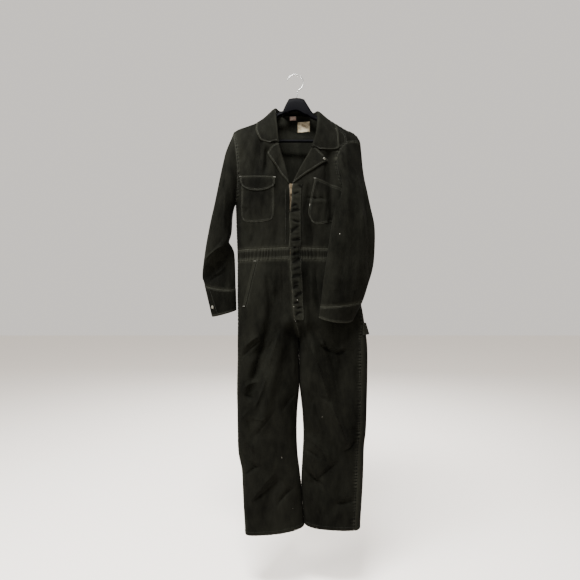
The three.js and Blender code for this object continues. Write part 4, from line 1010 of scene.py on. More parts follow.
def turn_of(x, down, half):
    """How far a place lies over the shoulder: 0 on the ridge, 1 where the roll ends."""
    roll = FRONT_ROLL if half == FRONT else BACK_ROLL
    below = down - ridge(x)
    if half == TOP:
        return 0
    if below > roll:
        return half * (1 + (below - roll) / (roll * math.pi / 2))
    return half * max(1e-4, math.acos(1 - min(max(below / roll, 0), 1)) / (math.pi / 2))


def smooth_depth(x, down, half):
    """The depth of the fronts or the back without their finer creases."""
    if half == FRONT:
        over = rolled(down - ridge(x), FRONT_ROLL)
        depth = trunk("front", down) + folds_at(FRONT_FOLDS, x, down)
    else:
        over = mix(rolled(down - ridge(x), BACK_ROLL), 1, at_neck(x))
        depth = trunk("back", down) + folds_at(BACK_FOLDS, x, down)
    return fullness(x, down) * over * depth


def shoulder_skin(x, turn):
    """The place over the shoulder at x and turn, without the finer creases."""
    roll = np.where(turn < 0, FRONT_ROLL, BACK_ROLL)
    angle = np.minimum(1, np.abs(turn)) * np.pi / 2
    past = np.maximum(0, np.abs(turn) - 1) * roll * np.pi / 2
    down = ridge(x) + roll * (1 - np.cos(angle)) + past
    y = np.where(turn < 0, -smooth_depth(x, down, FRONT), smooth_depth(x, down, BACK))
    return place(x, y, down)


def shoulder_normal(x, turn):
    """The direction out of the cloth at that place."""
    across = shoulder_skin(x + 1, turn) - shoulder_skin(x - 1, turn)
    along = shoulder_skin(x, turn + 0.01) - shoulder_skin(x, turn - 0.01)
    return unit(np.cross(across, along))


collar_at = reader(
    ["row", "neck_x", "neck_turn", "edge_x", "edge_turn", "height"],
    [[k, r[0], turn_of(r[0], r[1], r[5]), r[2], turn_of(r[2], r[3], r[5]), r[4]]
     for k, r in enumerate(COLLAR_ROWS)])
last = len(COLLAR_ROWS) - 1
row = np.linspace(0, last, 160)
neck_x, neck_turn, edge_x, edge_turn, height = [
    collar_at(c, row) for c in ("neck_x", "neck_turn", "edge_x", "edge_turn", "height")]
neck, edge_points = shoulder_skin(neck_x, neck_turn), shoulder_skin(edge_x, edge_turn)
upwards = np.where((neck_turn < -0.02)[:, None], shoulder_normal(neck_x, neck_turn), [0, 0, 1])
outwards = edge_points - neck
outwards[:, 1] += np.where(neck_turn > 0, 60 * smooth(80, 50, np.abs(neck_x - NECK_MIDDLE)), 0)
outwards = unit(outwards - (outwards * upwards).sum(axis=1, keepdims=True) * upwards)
rise = height - ROLL_RADIUS
foot = mix(-CLOTH, 0.5, smooth(-0.35, -0.05, neck_turn))
stand = [(-STAND_IN, foot), (-STAND_IN, rise / 2), (-STAND_IN, rise)]
for degrees in (55, 105):
    angle = math.radians(degrees)
    over = -STAND_IN + ROLL_RADIUS * (1 - math.cos(angle))
    stand.append((over, rise + ROLL_RADIUS * math.sin(angle)))
section = [neck + outwards * s + upwards * np.broadcast_to(u, row.shape)[:, None] for s, u in stand]
for share in FALL_SHARES:
    x, turn = mix(neck_x, edge_x, share), mix(neck_turn, edge_turn, share)
    clear = COLLAR_CLEAR + BACK_CLEAR * smooth(0, 0.2, turn)
    section.append(shoulder_skin(x, turn) + shoulder_normal(x, turn) * clear[:, None]
                   + upwards * (rise * (1 - share) ** 2)[:, None])
section = np.stack(section, axis=1)
chord = np.linspace(0, 1, section.shape[1])
fall = graded(34, first=False)
grid = np.empty((len(row), len(fall), 3))
for j, points in enumerate(section):
    read = reader(["at", "x", "y", "z"], np.column_stack([chord, points]))
    grid[j] = np.stack([read(k, fall) for k in ("x", "y", "z")], axis=1)
EASINGS = 14
for _ in range(EASINGS):
    grid[1:-1] = grid[1:-1] / 2 + (grid[:-2] + grid[2:]) / 4
n, _ = normals(grid, 1, False)
wave = 0.7 * np.sin(row / last * 31)[:, None] + 0.5 * np.sin(row / last * 53 + 1)[:, None]
grid = grid + n * (wave * smooth(0.55, 1, fall)[None])[..., None]
fade = wear_and_dimple_shade_at(grid, "right", reach=6, strength=0.4)
fade = np.maximum(fade, 0.18 * np.exp(-((fall - 0.42) / 0.05) ** 2)[None])
away = 1 if (n[:, -1] * unit(edge_points - [0, 0, -300])).sum() > 0 else -1
collar = sewn_piece("collar", grid, away, "folded", ["front_bodice_right", "back_bodice"],
                    COLLAR_THICK, fade=fade)
lines = [edge_line(collar, "right", EDGE_STITCH_IN)]
lines += [edge_line(collar, edge, EDGE_STITCH_IN, 0.45, 0.97) for edge in ("bottom", "top")]
stitches("collar_stitching", lines, wide=1.1)


# Sleeves: one panel of drill each, seamed along the underside and gathered a little at the head.
# They hang from the armholes; the wearer's left one lies across the front.
MARKS = ("outer", "front", "inner", "back")
SLEEVE_ROWS = {
    RIGHT: [
        [(-256, -6, 285), (-232, -52, 370), (-226, -8, 490), (-240, 30, 375)],
        [(-268, -10, 340), (-248, -56, 410), (-230, -12, 510), (-252, 26, 410)],
        [(-281, -14, 408), (-258, -58, 458), (-233, -14, 532), (-258, 22, 458)],
        [(-296, -18, 485), (-268, -58, 515), (-234, -16, 555), (-266, 18, 512)],
        [(-311, -20, 555), (-278, -58, 565), (-235, -18, 577), (-274, 16, 562)],
        [(-325, -20, 628), (-286, -60, 615), (-238, -24, 597), (-282, 16, 612)],
        [(-336, -18, 700), (-291, -60, 662), (-243, -32, 618), (-288, 16, 662)],
        [(-342, -10, 730), (-288, -42, 690), (-232, -12, 640), (-290, 18, 690)],
        [(-343, -4, 752), (-282, -24, 722), (-226, 2, 672), (-284, 26, 722)],
        [(-336, -3, 772), (-274, -28, 790), (-223, 6, 785), (-276, 30, 780)],
        [(-308, -3, 891), (-262, -26, 882), (-221, 8, 868), (-264, 28, 878)],
    ],
    LEFT: [
        [(240, -8, 318), (150, -84, 352), (224, -32, 486), (218, 30, 385)],
        [(245, -12, 378), (160, -98, 402), (208, -62, 500), (232, 12, 425)],
        [(257, -18, 435), (176, -106, 455), (152, -80, 508), (226, -14, 470)],
        [(270, -24, 490), (188, -108, 505), (134, -84, 524), (215, -36, 512)],
        [(284, -30, 560), (196, -110, 570), (121, -86, 580), (208, -50, 570)],
        [(284, -34, 640), (194, -112, 652), (109, -90, 660), (198, -58, 650)],
        [(276, -42, 712), (186, -114, 730), (98, -92, 732), (190, -66, 725)],
        [(255, -50, 780), (172, -114, 795), (90, -92, 795), (176, -74, 790)],
        [(237, -52, 832), (158, -112, 846), (84, -92, 848), (162, -78, 842)],
        [(199, -58, 903), (140, -108, 906), (78, -90, 888), (142, -80, 900)],
    ],
}
GATHERS, GATHER_DEPTH, GATHER_SPAN = 5, 4, 0.3
SLEEVE_CREASES = {
    (RIGHT, "front"): [
        [-252, 300, -262, 460, 4, 7, -2.5], [-266, 340, -296, 560, 6, 10, -2.5],
        [-246, 400, -256, 590, -4, 8, 2.5], [-300, 500, -322, 660, 5, 9, 2.5],
        [-334, 700, -258, 636, 8, 7, 4], [-330, 676, -266, 612, -6, 7, -3],
        [-306, 640, -296, 560, 5, 8, -2], [-250, 690, -300, 740, 6, 7, 3],
        [-318, 770, -262, 732, 5, 6, -3], [-308, 780, -288, 880, 3, 5, 1.5],
        [-250, 720, -244, 800, 4, 7, 2.5]],
    (RIGHT, "back"): [
        [-256, 320, -276, 520, 5, 9, -3], [-300, 480, -318, 660, -5, 9, 3],
        [-334, 700, -256, 650, 8, 7, -4], [-330, 730, -250, 690, -6, 7, 4],
        [-300, 780, -270, 860, 4, 7, 2]],
    (LEFT, "front"): [
        [236, 372, 262, 810, 7, 26, -14],
        [214, 372, 236, 800, 7, 7, 3],
        [209, 350, 228, 473, 3, 6, 4], [227, 473, 264, 669, -6, 7, 4], [244, 430, 272, 600, 5, 9, -4],
        [176, 360, 164, 610, 7, 11, 3], [152, 366, 140, 640, -6, 10, -3],
        [192, 400, 200, 700, 4, 11, -3], [124, 560, 112, 760, 4, 9, 2.5],
        [172, 620, 146, 830, -5, 10, -3], [214, 660, 184, 866, 6, 10, 3],
        [236, 700, 210, 800, 4, 8, -2.5], [100, 760, 140, 800, -4, 7, 2],
        [120, 840, 172, 862, 4, 6, -2]],
    (LEFT, "back"): [
        [230, 420, 210, 600, 5, 9, 3], [250, 600, 190, 700, 6, 9, -3], [200, 700, 150, 820, -5, 9, 3]],
}


def sleeve_form(side):
    """The sleeve's surface by the turn round it and the row down it, and its last row."""
    head = [armhole(side, turn) for turn in (0, 0.25, 0.5, 0.75)]
    rows = [np.concatenate(head)] + [
        np.concatenate([[x, y, -down] for x, y, down in marks]) for marks in SLEEVE_ROWS[side]]
    columns = ["row"] + [f"{mark}{k}" for mark in MARKS for k in range(3)]
    at = reader(columns, [[k, *values] for k, values in enumerate(rows)])

    def even(turn, row):
        """The plain sleeve, through the four marks of each row."""
        marks = [np.stack([at(f"{mark}{k}", row) for k in range(3)], axis=-1) for mark in MARKS]
        return loop(marks, turn)

    def form(turn, row):
        """The sleeve brought to the armhole, gathered at its head and creased."""
        p = even(turn, row)
        seam = armhole(side, turn) - even(turn, np.zeros_like(row))
        p = p + seam * (np.clip(1 - row, 0, 1) ** 2)[..., None]
        free = smooth(0, 0.9, row)
        if side == LEFT:
            within = np.clip(turn / GATHER_SPAN, 0, 1)
            within = within * np.clip((GATHER_SPAN - turn) / 0.05, 0, 1)
            wave = np.cos(turn / GATHER_SPAN * GATHERS * 2 * np.pi)
            drawn = smooth(0, 0.6, row) * smooth(5, 1, row)
            p[..., 1] += GATHER_DEPTH * drawn * within * wave
        x, down = p[..., 0], -p[..., 2]
        for half, sign in (("front", -1), ("back", 1)):
            on = np.clip(-sign * np.sin(turn * 2 * np.pi) * 1.5, 0, 1) * free
            worn = creases_at(SLEEVE_CREASES[side, half], x, down)
            p[..., 1] += sign * on * (worn + 0.9 * ripple(x, down, side + sign))
        return p

    return form, len(rows) - 1


SLEEVE_TUCK = 3.0
ARM_POINTS = 78
arm_turns = np.linspace(0, 1, ARM_POINTS, endpoint=False)
sleeves, cuffs = {}, {}
for side in (RIGHT, LEFT):
    form, last = sleeve_form(side)
    name = SIDE_NAME[side]
    rows = np.concatenate([[0, 0.012, 0.03, 0.055], np.linspace(0.09, last - 1, 19 * (last - 1))])
    grid = drawn_in(form(arm_turns[None], rows[:, None]), closed=True)
    inwards = grid[0] - grid[1]
    tucked = SLEEVE_TUCK * np.sqrt(np.abs(np.sin(arm_turns * 2 * np.pi)))[:, None]
    grid[0] += tucked * inwards / np.linalg.norm(inwards, axis=1, keepdims=True)
    grid = seamed(grid, "bottom", "round", closed=True, pitch=15, sunk=0,
                  drawn=0.9 if side == LEFT else 0.3)
    grid = seamed(grid, "top", "round", closed=True, pitch=14, drawn=0.8)
    fade = wear_and_dimple_shade_at(grid, "bottom", "top", reach=6, strength=0.4)
    sleeves[side] = sewn_piece(f"sleeve_{name}", grid, "round", closed=True,
                               rests_on=[f"front_bodice_{name}"], fade=fade)


# Cuffs: straight bands of two layers of drill, sewn to the sleeves' ends and stitched along both
# edges. The wearer's right one shows its lapped, snapped end.
CUFF_THICK, LAP, LAP_STITCH_IN = 2.0, 1.5, 4
LAP_LINE = ((-320, 757), (-281, 880))
for side in (RIGHT, LEFT):
    form, last = sleeve_form(side)
    name = SIDE_NAME[side]
    rows = last - 1 + np.array([0, 0.012, 0.03, *np.linspace(0.06, 0.94, 34), 0.97, 0.988, 1])
    grid = drawn_in(form(arm_turns[None], rows[:, None]), closed=True)
    n, _ = normals(grid, "round", True)
    lift = 0.6 * smooth(last - 1, last - 0.95, rows) * smooth(last, last - 0.04, rows)
    lift = lift[:, None] + 0 * grid[..., 0]
    if side == RIGHT:
        (x0, down0), (x1, down1) = LAP_LINE
        line_x = x0 + (-grid[..., 2] - down0) * (x1 - x0) / (down1 - down0)
        on_front = np.clip(np.sin(arm_turns * 2 * np.pi) * 2, 0, 1)[None]
        lift += LAP * on_front * smooth(3, -2, grid[..., 0] - line_x)
    grid = grid + n * lift[..., None]
    for edge in ("bottom", "top"):
        grid = seamed(grid, edge, "round", closed=True, pitch=13, drawn=0.5)
    fade = wear_and_dimple_shade_at(grid, "bottom", "top", reach=6, strength=0.6)
    cuffs[side] = sewn_piece(f"cuff_{name}", grid, "round", closed=True,
                             thickness=CUFF_THICK, rests_on=[f"sleeve_{name}"], fade=fade)


def line_at(sewn, x_at, rows=(0, 1)):
    """A line down a layer's front: in each of its rows, the place whose x is x_at(down)."""
    p, n = sewn["points"], sewn["normals"]
    columns = p.shape[1] // 2 if sewn["closed"] else p.shape[1]
    line, facing = [], []
    for j in range(round(rows[0] * (len(p) - 1)), round(rows[1] * (len(p) - 1)) + 1):
        q, m = p[j, :columns], n[j, :columns]
        wanted = q[:, 0] - x_at(-q[:, 2])
        cross = np.flatnonzero(np.sign(wanted[1:]) != np.sign(wanted[:-1]))
        if len(cross) == 0:
            continue
        k = cross[0]
        t = wanted[k] / (wanted[k] - wanted[k + 1])
        line.append(mix(q[k], q[k + 1], t))
        facing.append(mix(m[k], m[k + 1], t))
    return np.array(line), np.array(facing)


def sloped(x0, down0, x1, down1):
    """x on the straight line through two places, by the distance down."""
    return lambda down: x0 + (down - down0) * (x1 - x0) / (down1 - down0)


lines = []
for side in (RIGHT, LEFT):
    lines += [edge_line(sleeves[side], "bottom", 3.5)]
    for edge in ("bottom", "top"):
        lines += [edge_line(cuffs[side], edge, inset) for inset in (2.5, 7.5)]
(x0, down0), (x1, down1) = LAP_LINE
lap_stitch = sloped(x0 - LAP_STITCH_IN, down0, x1 - LAP_STITCH_IN, down1)
lines.append(line_at(cuffs[RIGHT], lap_stitch, rows=(0.03, 0.97)))
stitches("sleeve_stitching", lines)
UNDERARM_TURN = {RIGHT: 0.55, LEFT: 0.6}
lines = []
for side in (RIGHT, LEFT):
    column = round(UNDERARM_TURN[side] * ARM_POINTS)
    for step in (0, 1):
        lines.append([sleeves[side][key][:, column + step] for key in ("points", "normals")])
stitches("underarm_stitching", lines)


# Waistband: a doubled band of drill over the joins of fronts, back and legs. The rows of stitches
# along its edges have shrunk, which draws the cloth between them into small upright puckers.
legs = {
    RIGHT: reader(["down", "outer", "inner", "front", "back"], [
        [640, -216, 4, 60, 38],
        [690, -215, 4, 60, 38],
        [760, -215, 4, 62, 42],
        [890, -214, 8.4, 62, 46],
        [960, -215, 10.5, 60, 46],
        [1000, -215, 10.6, 58, 45],
        [1050, -215, 10.9, 57, 44],
        [1143, -217, 12.6, 54, 42],
        [1190, -217, 9, 53, 41],
        [1236, -216, 5, 52, 40],
        [1313, -215, 3, 50, 38],
        [1391, -212, 6, 50, 38],
        [1450, -200, 13, 48, 38],
        [1500, -197, 18.6, 47, 38],
        [1586, -193, 25.4, 46, 38],
        [1700, -186, 35, 46, 38],
    ]),
    LEFT: reader(["down", "outer", "inner", "front", "back"], [
        [640, 206, 4, 60, 38],
        [690, 210, 4, 60, 38],
        [760, 225, 4, 62, 42],
        [890, 248, 7.6, 62, 46],
        [960, 258, 9.6, 60, 46],
        [1000, 262, 10.8, 58, 45],
        [1050, 263, 11.3, 57, 44],
        [1143, 262, 13.2, 54, 42],
        [1190, 261, 18, 53, 41],
        [1236, 260, 23, 52, 40],
        [1313, 257, 27, 50, 38],
        [1361, 251, 26, 50, 38],
        [1450, 248, 21, 47, 38],
        [1500, 246, 19.4, 46, 38],
        [1586, 241, 25.5, 46, 38],
        [1700, 233, 35.1, 46, 38],
    ]),
}
RISE_START, CROTCH, FLY_END, ZIP_GAP = 900, 1000, 900, 6
LEG_FRONT_CREASES = [
    [96, 950, 160, 1190, 0, 24, -13],
    [-108, 946, -166, 1150, 0, 24, -13],
    [8, 900, 6, 1130, 0, 16, 4],
    [-6, 920, -8, 1130, 0, 14, 4],
    [44, 1150, 110, 1320, 0, 22, -8],
    [150, 1410, 60, 1490, 0, 18, -7],
    [-176, 1260, -150, 1340, 0, 18, -7],
    [-60, 1480, -150, 1550, 0, 20, -7],
    [9, 863, 49, 983, 4, 7, 4],
    [49, 983, 118, 1182, 2, 9, 9],
    [118, 1182, 182, 1350, 3, 9, 9],
    [62, 936, 112, 1090, 4, 9, -6],
    [170, 1374, 216, 1328, -8, 8, -6],
    [192, 1290, 236, 1312, 4, 6, -3.5],
    [100, 1056, 141, 1194, 8, 6, 3.5],
    [84, 977, 130, 1006, -3, 6, 4.5],
    [130, 1006, 175, 993, -4, 6, 4.5],
    [90, 996, 132, 1024, 3, 7, -5.5],
    [134, 1024, 182, 1008, -3, 7, -5.5],
    [129, 1008, 152, 1058, 2, 6, 3.5],
    [21, 1313, 129, 1416, 10, 7, 5],
    [24, 1372, 86, 1402, 4, 8, -6],
    [22, 1433, 108, 1507, -6, 9, -7],
    [28, 1484, 110, 1519, 4, 7, -4.5],
    [32, 1513, 86, 1606, 6, 8, 5],
    [140, 1560, 216, 1552, -6, 8, -5],
    [144, 1538, 218, 1526, -4, 8, 3],
    [88, 1176, 126, 1198, 3, 6, -3.5],
    [60, 1190, 40, 1290, 5, 8, 2.5],
    [-52, 930, -100, 1076, -4, 10, 8.5],
    [-100, 1076, -152, 1218, 5, 9, 7.5],
    [-78, 960, -128, 1090, -4, 10, -5],
    [-198, 1042, -126, 976, 5, 8, -6],
    [-190, 1006, -134, 958, 4, 7, 5],
    [-186, 1142, -138, 1124, 4, 7, 5],
    [-184, 1168, -150, 1182, -4, 7, -6],
    [-172, 1222, -206, 1256, 3, 6, 4],
    [-198, 1372, -138, 1442, -6, 8, -5],
    [-184, 1466, -130, 1430, 5, 8, -6],
    [-202, 1330, -150, 1374, 4, 7, 4],
    [-166, 1566, -78, 1450, 6, 12, 5],
    [-66, 1568, -8, 1506, 4, 11, -7],
    [-48, 1228, 0, 1166, 3, 7, -4],
    [-180, 1252, -98, 1250, -3, 5, 2.5],
    [-150, 1330, -78, 1228, 4, 6, -3.5],
    [-108, 730, -96, 900, 4, 10, -3],
    [-80, 710, -72, 910, -4, 10, 3],
    [-52, 694, -50, 870, 3, 9, -3],
    [70, 694, 86, 890, -4, 10, -4],
    [48, 694, 56, 870, 4, 9, 3],
    [15, 688, 66, 848, 4, 9, 3.5],
    [120, 700, 132, 860, 4, 10, -3],
]
LEG_BACK_CREASES = [
    [-20, 960, -112, 1092, 8, 10, 5],
    [-30, 1010, -132, 1162, -6, 10, -5],
    [24, 960, 122, 1102, -8, 10, 5],
    [30, 1010, 152, 1182, 6, 10, -5],
    [-192, 1180, -88, 1240, 8, 9, -6],
    [-184, 1212, -96, 1262, -6, 9, 5],
    [88, 1206, 216, 1252, 8, 9, -6],
    [104, 1244, 224, 1280, -5, 9, 5],
    [-152, 1320, -54, 1372, 6, 9, -4.5],
    [70, 1330, 182, 1392, -6, 9, -4.5],
    [-164, 1564, -60, 1480, 8, 11, 5],
    [58, 1566, 184, 1500, -6, 11, -5],
    [-124, 716, -96, 890, 6, 11, -3.5],
    [120, 716, 104, 890, -6, 11, -3.5],
    [-60, 700, -52, 860, -4, 10, 3],
    [66, 700, 60, 860, 4, 10, 3],
    [-186, 780, -176, 940, 4, 10, 3],
    [196, 790, 206, 950, -4, 10, 3],
]


def lower_place(side, around, down):
    """Below the waist: around 0 is the centre front or inseam, 1 the side, 2 the centre back."""
    around, down = np.broadcast_arrays(np.asarray(around, float), np.asarray(down, float))
    leg = smooth(RISE_START, CROTCH, down)
    read = legs[side]
    outer, inner = read("outer", down), read("inner", down)
    fly = np.where(around < 1, ZIP_GAP / 2 * smooth(FLY_END + 8, FLY_END - 12, down), 0)
    centre = trunk("centre", down) + side * fly
    quarter, half = around * np.pi / 2, around * np.pi
    trunk_x = mix(centre, outer, power(np.sin(quarter)))
    leg_x = mix(inner, outer, (1 - power(np.cos(half))) / 2)
    x = mix(trunk_x, leg_x, leg)
    full = mix(power(np.cos(quarter)), power(np.sin(half)), leg)
    front_wear = creases_at(LEG_FRONT_CREASES, x, down) + ripple(x, down, 1)
    back_wear = creases_at(LEG_BACK_CREASES, x, down) + ripple(x, down, 5)
    front = read("front", down) + (folds_at(FRONT_FOLDS, x, down) + front_wear)
    rear = read("back", down) + (folds_at(BACK_FOLDS, x, down) + back_wear)
    depth = np.where(full > 0, front, rear)
    return place(x, -full * depth, down)


def around_at(share, seam, down):
    """The place round the body at a share of the panel's flat width from the centre to its seam."""
    leg = smooth(RISE_START, CROTCH, down)
    sine = unpower(share * power(np.sin(seam * np.pi / 2)))
    on_trunk = np.arcsin(np.clip(sine, -1, 1)) * 2 / np.pi
    leg_share = share * (1 - power(np.cos(seam * np.pi))) / 2
    on_leg = np.arccos(np.clip(unpower(1 - 2 * leg_share), -1, 1)) / np.pi
    return np.where(share >= 1, seam, mix(on_trunk, on_leg, leg))


def waist_line(around, height):
    """The waist seam's distance down, which grows to the sides, plus a height."""
    sideways = power(np.sin(np.minimum(around, 2 - around) * np.pi / 2))
    return WAIST_TOP + WAIST_DROP * sideways + height


def band_grid(side, half, across, row):
    """Half of the waistband, from the centre to the side; row 0 is its lower edge."""
    to_side = around_at(across, 1, WAIST_TOP)
    around = to_side if half == "front" else 2 - to_side
    return lower_place(side, around, waist_line(around, BAND_HEIGHT * (1 - row)))


BAND_THICK = 2.0


def gathered(p, facing, pitch, depth, seed):
    """Small upright puckers that the rows of stitches draw up, stronger in places."""
    n, _ = normals(p, facing, False)
    _, along = from_edge(p, "bottom")
    row = np.linspace(0, 1, len(p))[:, None]
    run = along + 4 * np.sin(along / 27 + seed) + 2.5 * np.sin(along / 11 + seed * 2)
    strong = 0.35 + 0.65 * smooth(-0.4, 0.7, np.sin(along / 43 + seed * 1.3))
    lean = run + 5 * (row - 0.5) * np.sin(along / 36 + seed)
    between = np.sin(np.pi * np.clip(row * 1.1 - 0.05, 0, 1)) ** 0.6
    return p + n * (depth * strong * np.sin(lean * 2 * np.pi / pitch) * between)[..., None]


band_rows = np.array([0, 0.02, 0.05, *np.linspace(0.09, 0.91, 15), 0.95, 0.98, 1])[:, None]
band_across = graded(92)
bands = {}
for side in (RIGHT, LEFT):
    grid = drawn_in(band_grid(side, "front", band_across[None], band_rows))
    grid = gathered(grid, "front", 11, 2.2, side)
    grid = seamed(seamed(grid, "top", "front", drawn=0.3), "bottom", "front", drawn=0.3)
    name = f"waistband_front_{SIDE_NAME[side]}"
    fade = wear_and_dimple_shade_at(grid, "top", "bottom", reach=9, strength=0.55)
    bands[side] = sewn_piece(name, grid, "front", rests_on=[f"front_bodice_{SIDE_NAME[side]}"],
                             thickness=BAND_THICK, lift=0.5, fade=fade)
half_across = graded(86, first=False)
parts = {side: band_grid(side, "back", half_across[None], band_rows) for side in (RIGHT, LEFT)}
grid = drawn_in(np.concatenate([parts[RIGHT][:, :0:-1], parts[LEFT]], axis=1))
grid = gathered(grid, "back", 12, 2.0, 3)
band_back = sewn_piece("waistband_back", grid, "back", rests_on=["back_bodice"],
                       thickness=BAND_THICK, lift=0.5,
                       fade=wear_and_dimple_shade_at(grid, "top", "bottom", reach=9, strength=0.5))
lines = [edge_line(sewn, edge, inset) for sewn in (bands[RIGHT], bands[LEFT], band_back)
         for edge in ("top", "bottom") for inset in (2.4, 9)]
stitches("waistband_stitching", lines)


# Legs: a front and a back panel of drill each, sewn to the waistband and hemmed below. The outseams
# and the right inseam are felled, and their two rows of shrunk stitches pucker the seam.
HEM = {RIGHT: dict(outer=1686, inner=1653), LEFT: dict(outer=1663, inner=1648)}
OUTSEAM = {RIGHT: 0.93, LEFT: 0.76}


def leg_grid(side, half, across, row):
    """One panel of a leg, from its inner edge to the outseam; row 0 is the waistband."""
    rough = mix(WAIST_TOP + BAND_HEIGHT, HEM[side]["outer"], row)
    outseam = mix(1, OUTSEAM[side], smooth(760, 980, rough))
    seam = outseam if half == "front" else 2 - outseam
    to_side = around_at(across, np.minimum(seam, 1), rough) + np.maximum(0, seam - 1) * across
    around = to_side if half == "front" else 2 - to_side
    hem = mix(HEM[side]["inner"], HEM[side]["outer"], smooth(0, 1, to_side))
    return lower_place(side, around, mix(waist_line(around, BAND_HEIGHT), hem, row))


HEM_DEEP, ROPE_PITCH = 13, 15


def hemmed(p, facing):
    """A turned-up hem: a slightly raised band, roped by its one row of stitches."""
    n, _ = normals(p, facing, False)
    distance, along = from_edge(p, "top")
    rope = np.sin((along + 3 * distance + 3 * np.sin(along / 29)) * 2 * np.pi / ROPE_PITCH)
    rope = 0.8 * rope * np.exp(-(((distance - 5) / 6) ** 2))
    band = 0.6 * smooth(HEM_DEEP + 2, HEM_DEEP - 2, distance) + rope
    return p + n * band[..., None]


leg_rows = np.concatenate([[0, 0.002, 0.005], np.linspace(0.009, 0.985, 296),
                           [0.99, 0.994, 0.998, 1]])
panels = {}
for side in (RIGHT, LEFT):
    for half in ("front", "back"):
        grid = drawn_in(leg_grid(side, half, graded(50)[None], leg_rows[:, None]))
        front = half == "front"
        if front:
            grid = felled(grid, "right", half)
            if side == RIGHT:
                grid = felled(grid, "left", half, span=(0.36, 1), sunk=0)
            else:
                grid = seamed(grid, "left", half, drawn=0.2, sunk=0)
        else:
            grid = seamed(seamed(grid, "right", half), "left", half, drawn=0.2, sunk=0)
        grid = seamed(grid, "bottom", half, pitch=14, drawn=1.2)
        grid = hemmed(grid, half)
        # On the front panels: paler rubbed crests along the felled outseam, with painted shade in its
        # pucker dimples.
        fade = wear_and_dimple_shade_at(grid, "right", reach=12, strength=1.0 if front else 0.5, puckered=front)
        fade += wear_and_dimple_shade_at(grid, "left", "top", "bottom", reach=6, strength=0.3)
        band = f"waistband_front_{SIDE_NAME[side]}" if front else "waistband_back"
        panels[side, half] = sewn_piece(f"{half}_leg_{SIDE_NAME[side]}", grid, half,
                                        rests_on=[band], fade=fade)
lines = []
for side in (RIGHT, LEFT):
    lines += [edge_line(panels[side, "front"], "right", inset) for inset in FELL_ROWS]
    lines += [edge_line(panels[side, half], "top", HEM_DEEP) for half in ("front", "back")]
    lines += [edge_line(panels[side, "back"], "left", inset) for inset in FELL_ROWS]
lines += [edge_line(panels[RIGHT, "front"], "left", inset, 0.33, 1) for inset in FELL_ROWS]
lines += [edge_line(panels[LEFT, "front"], "left", 3, 0.22, 1)]
stitches("leg_stitching", lines)


# Hip pockets: a slanted opening each side, its edge turned in, stitched twice and barred at
# both ends. The welt is a narrow strip of drill laid along the opening.
WELT_TOP, WELT_FOOT = 689, 853
WELTS = {RIGHT: (-148, -188), LEFT: (137, 190)}
WELT_SIDES = (-5, 5.5)
WELT_ROWS, WELT_COLUMNS, WELT_ROPES = 60, 9, 15
WELT_LIFT, WELT_THICK = 1.4, 1.0
POCKET_STITCH_IN = 11


def welt(side):
    """A strip of rows across the opening line, laid on the front leg's own surface."""
    x0, x1 = WELTS[side]
    columns = []
    for step in np.linspace(*WELT_SIDES, WELT_COLUMNS):
        slant = sloped(x0 + step, WELT_TOP, x1 + step, WELT_FOOT)
        points, facing = line_at(panels[side, "front"], slant)
        inside = (-points[:, 2] > WELT_TOP - 3) & (-points[:, 2] < WELT_FOOT + 3)
        points, facing = points[inside], facing[inside]
        share = np.linspace(0, len(points) - 1, WELT_ROWS)
        at = np.floor(share).astype(int).clip(0, len(points) - 2)
        part = (share - at)[:, None]
        columns.append([mix(values[at], values[at + 1], part) for values in (points, facing)])
    p = np.stack([c[0] for c in columns], axis=1)[::-1]
    n = np.stack([c[1] for c in columns], axis=1)[::-1]
    across = np.linspace(-1, 1, WELT_COLUMNS)[None]
    rope = np.sin(np.linspace(0, 2 * np.pi * WELT_ROPES, WELT_ROWS) + side)[:, None]
    lift = WELT_LIFT + 0.5 * (1 - across**2) + 0.35 * rope * (across + 0.4)
    return sewn_piece(f"hip_pocket_welt_{SIDE_NAME[side]}", p + n * lift[..., None], "front",
                      rests_on=[f"front_leg_{SIDE_NAME[side]}"], thickness=WELT_THICK,
                      fade=0.15 + 0 * p[..., 0])


welts = {side: welt(side) for side in (RIGHT, LEFT)}
lines = []
for side in (RIGHT, LEFT):
    lines.append([welts[side][key][:, WELT_COLUMNS - 2] for key in ("points", "normals")])
    x0, x1 = (x - side * POCKET_STITCH_IN for x in WELTS[side])
    points, facing = line_at(panels[side, "front"], sloped(x0, WELT_TOP - 2, x1, WELT_FOOT))
    inside = (-points[:, 2] > WELT_TOP - 4) & (-points[:, 2] < WELT_FOOT + 4)
    lines.append((points[inside], facing[inside]))
stitches("welt_stitching", lines)
tacks = [tack(welts[side], edge, 0.5) for side in (RIGHT, LEFT) for edge in ("bottom", "top")]
stitches("hip_tacks", tacks, tack_thread, **TACK)


# Hammer loop: a doubled strap of drill from the wearer's left outseam round to the back of the
# leg, standing off the cloth so that a handle passes through, stitched down at both ends.
LOOP_DOWN, LOOP_ENDS, LOOP_THICK = (956, 915), (0.78, 1.4), 2.2
LOOP_STANDS = (11, 4)


def lower_normal(side, around, down):
    """The direction out of the cloth below the waist."""
    round_it = lower_place(side, around + 0.02, down) - lower_place(side, around - 0.02, down)
    along = lower_place(side, around, down + 1) - lower_place(side, around, down - 1)
    n = -side * np.cross(round_it, along)
    return n / np.linalg.norm(n, axis=-1, keepdims=True)


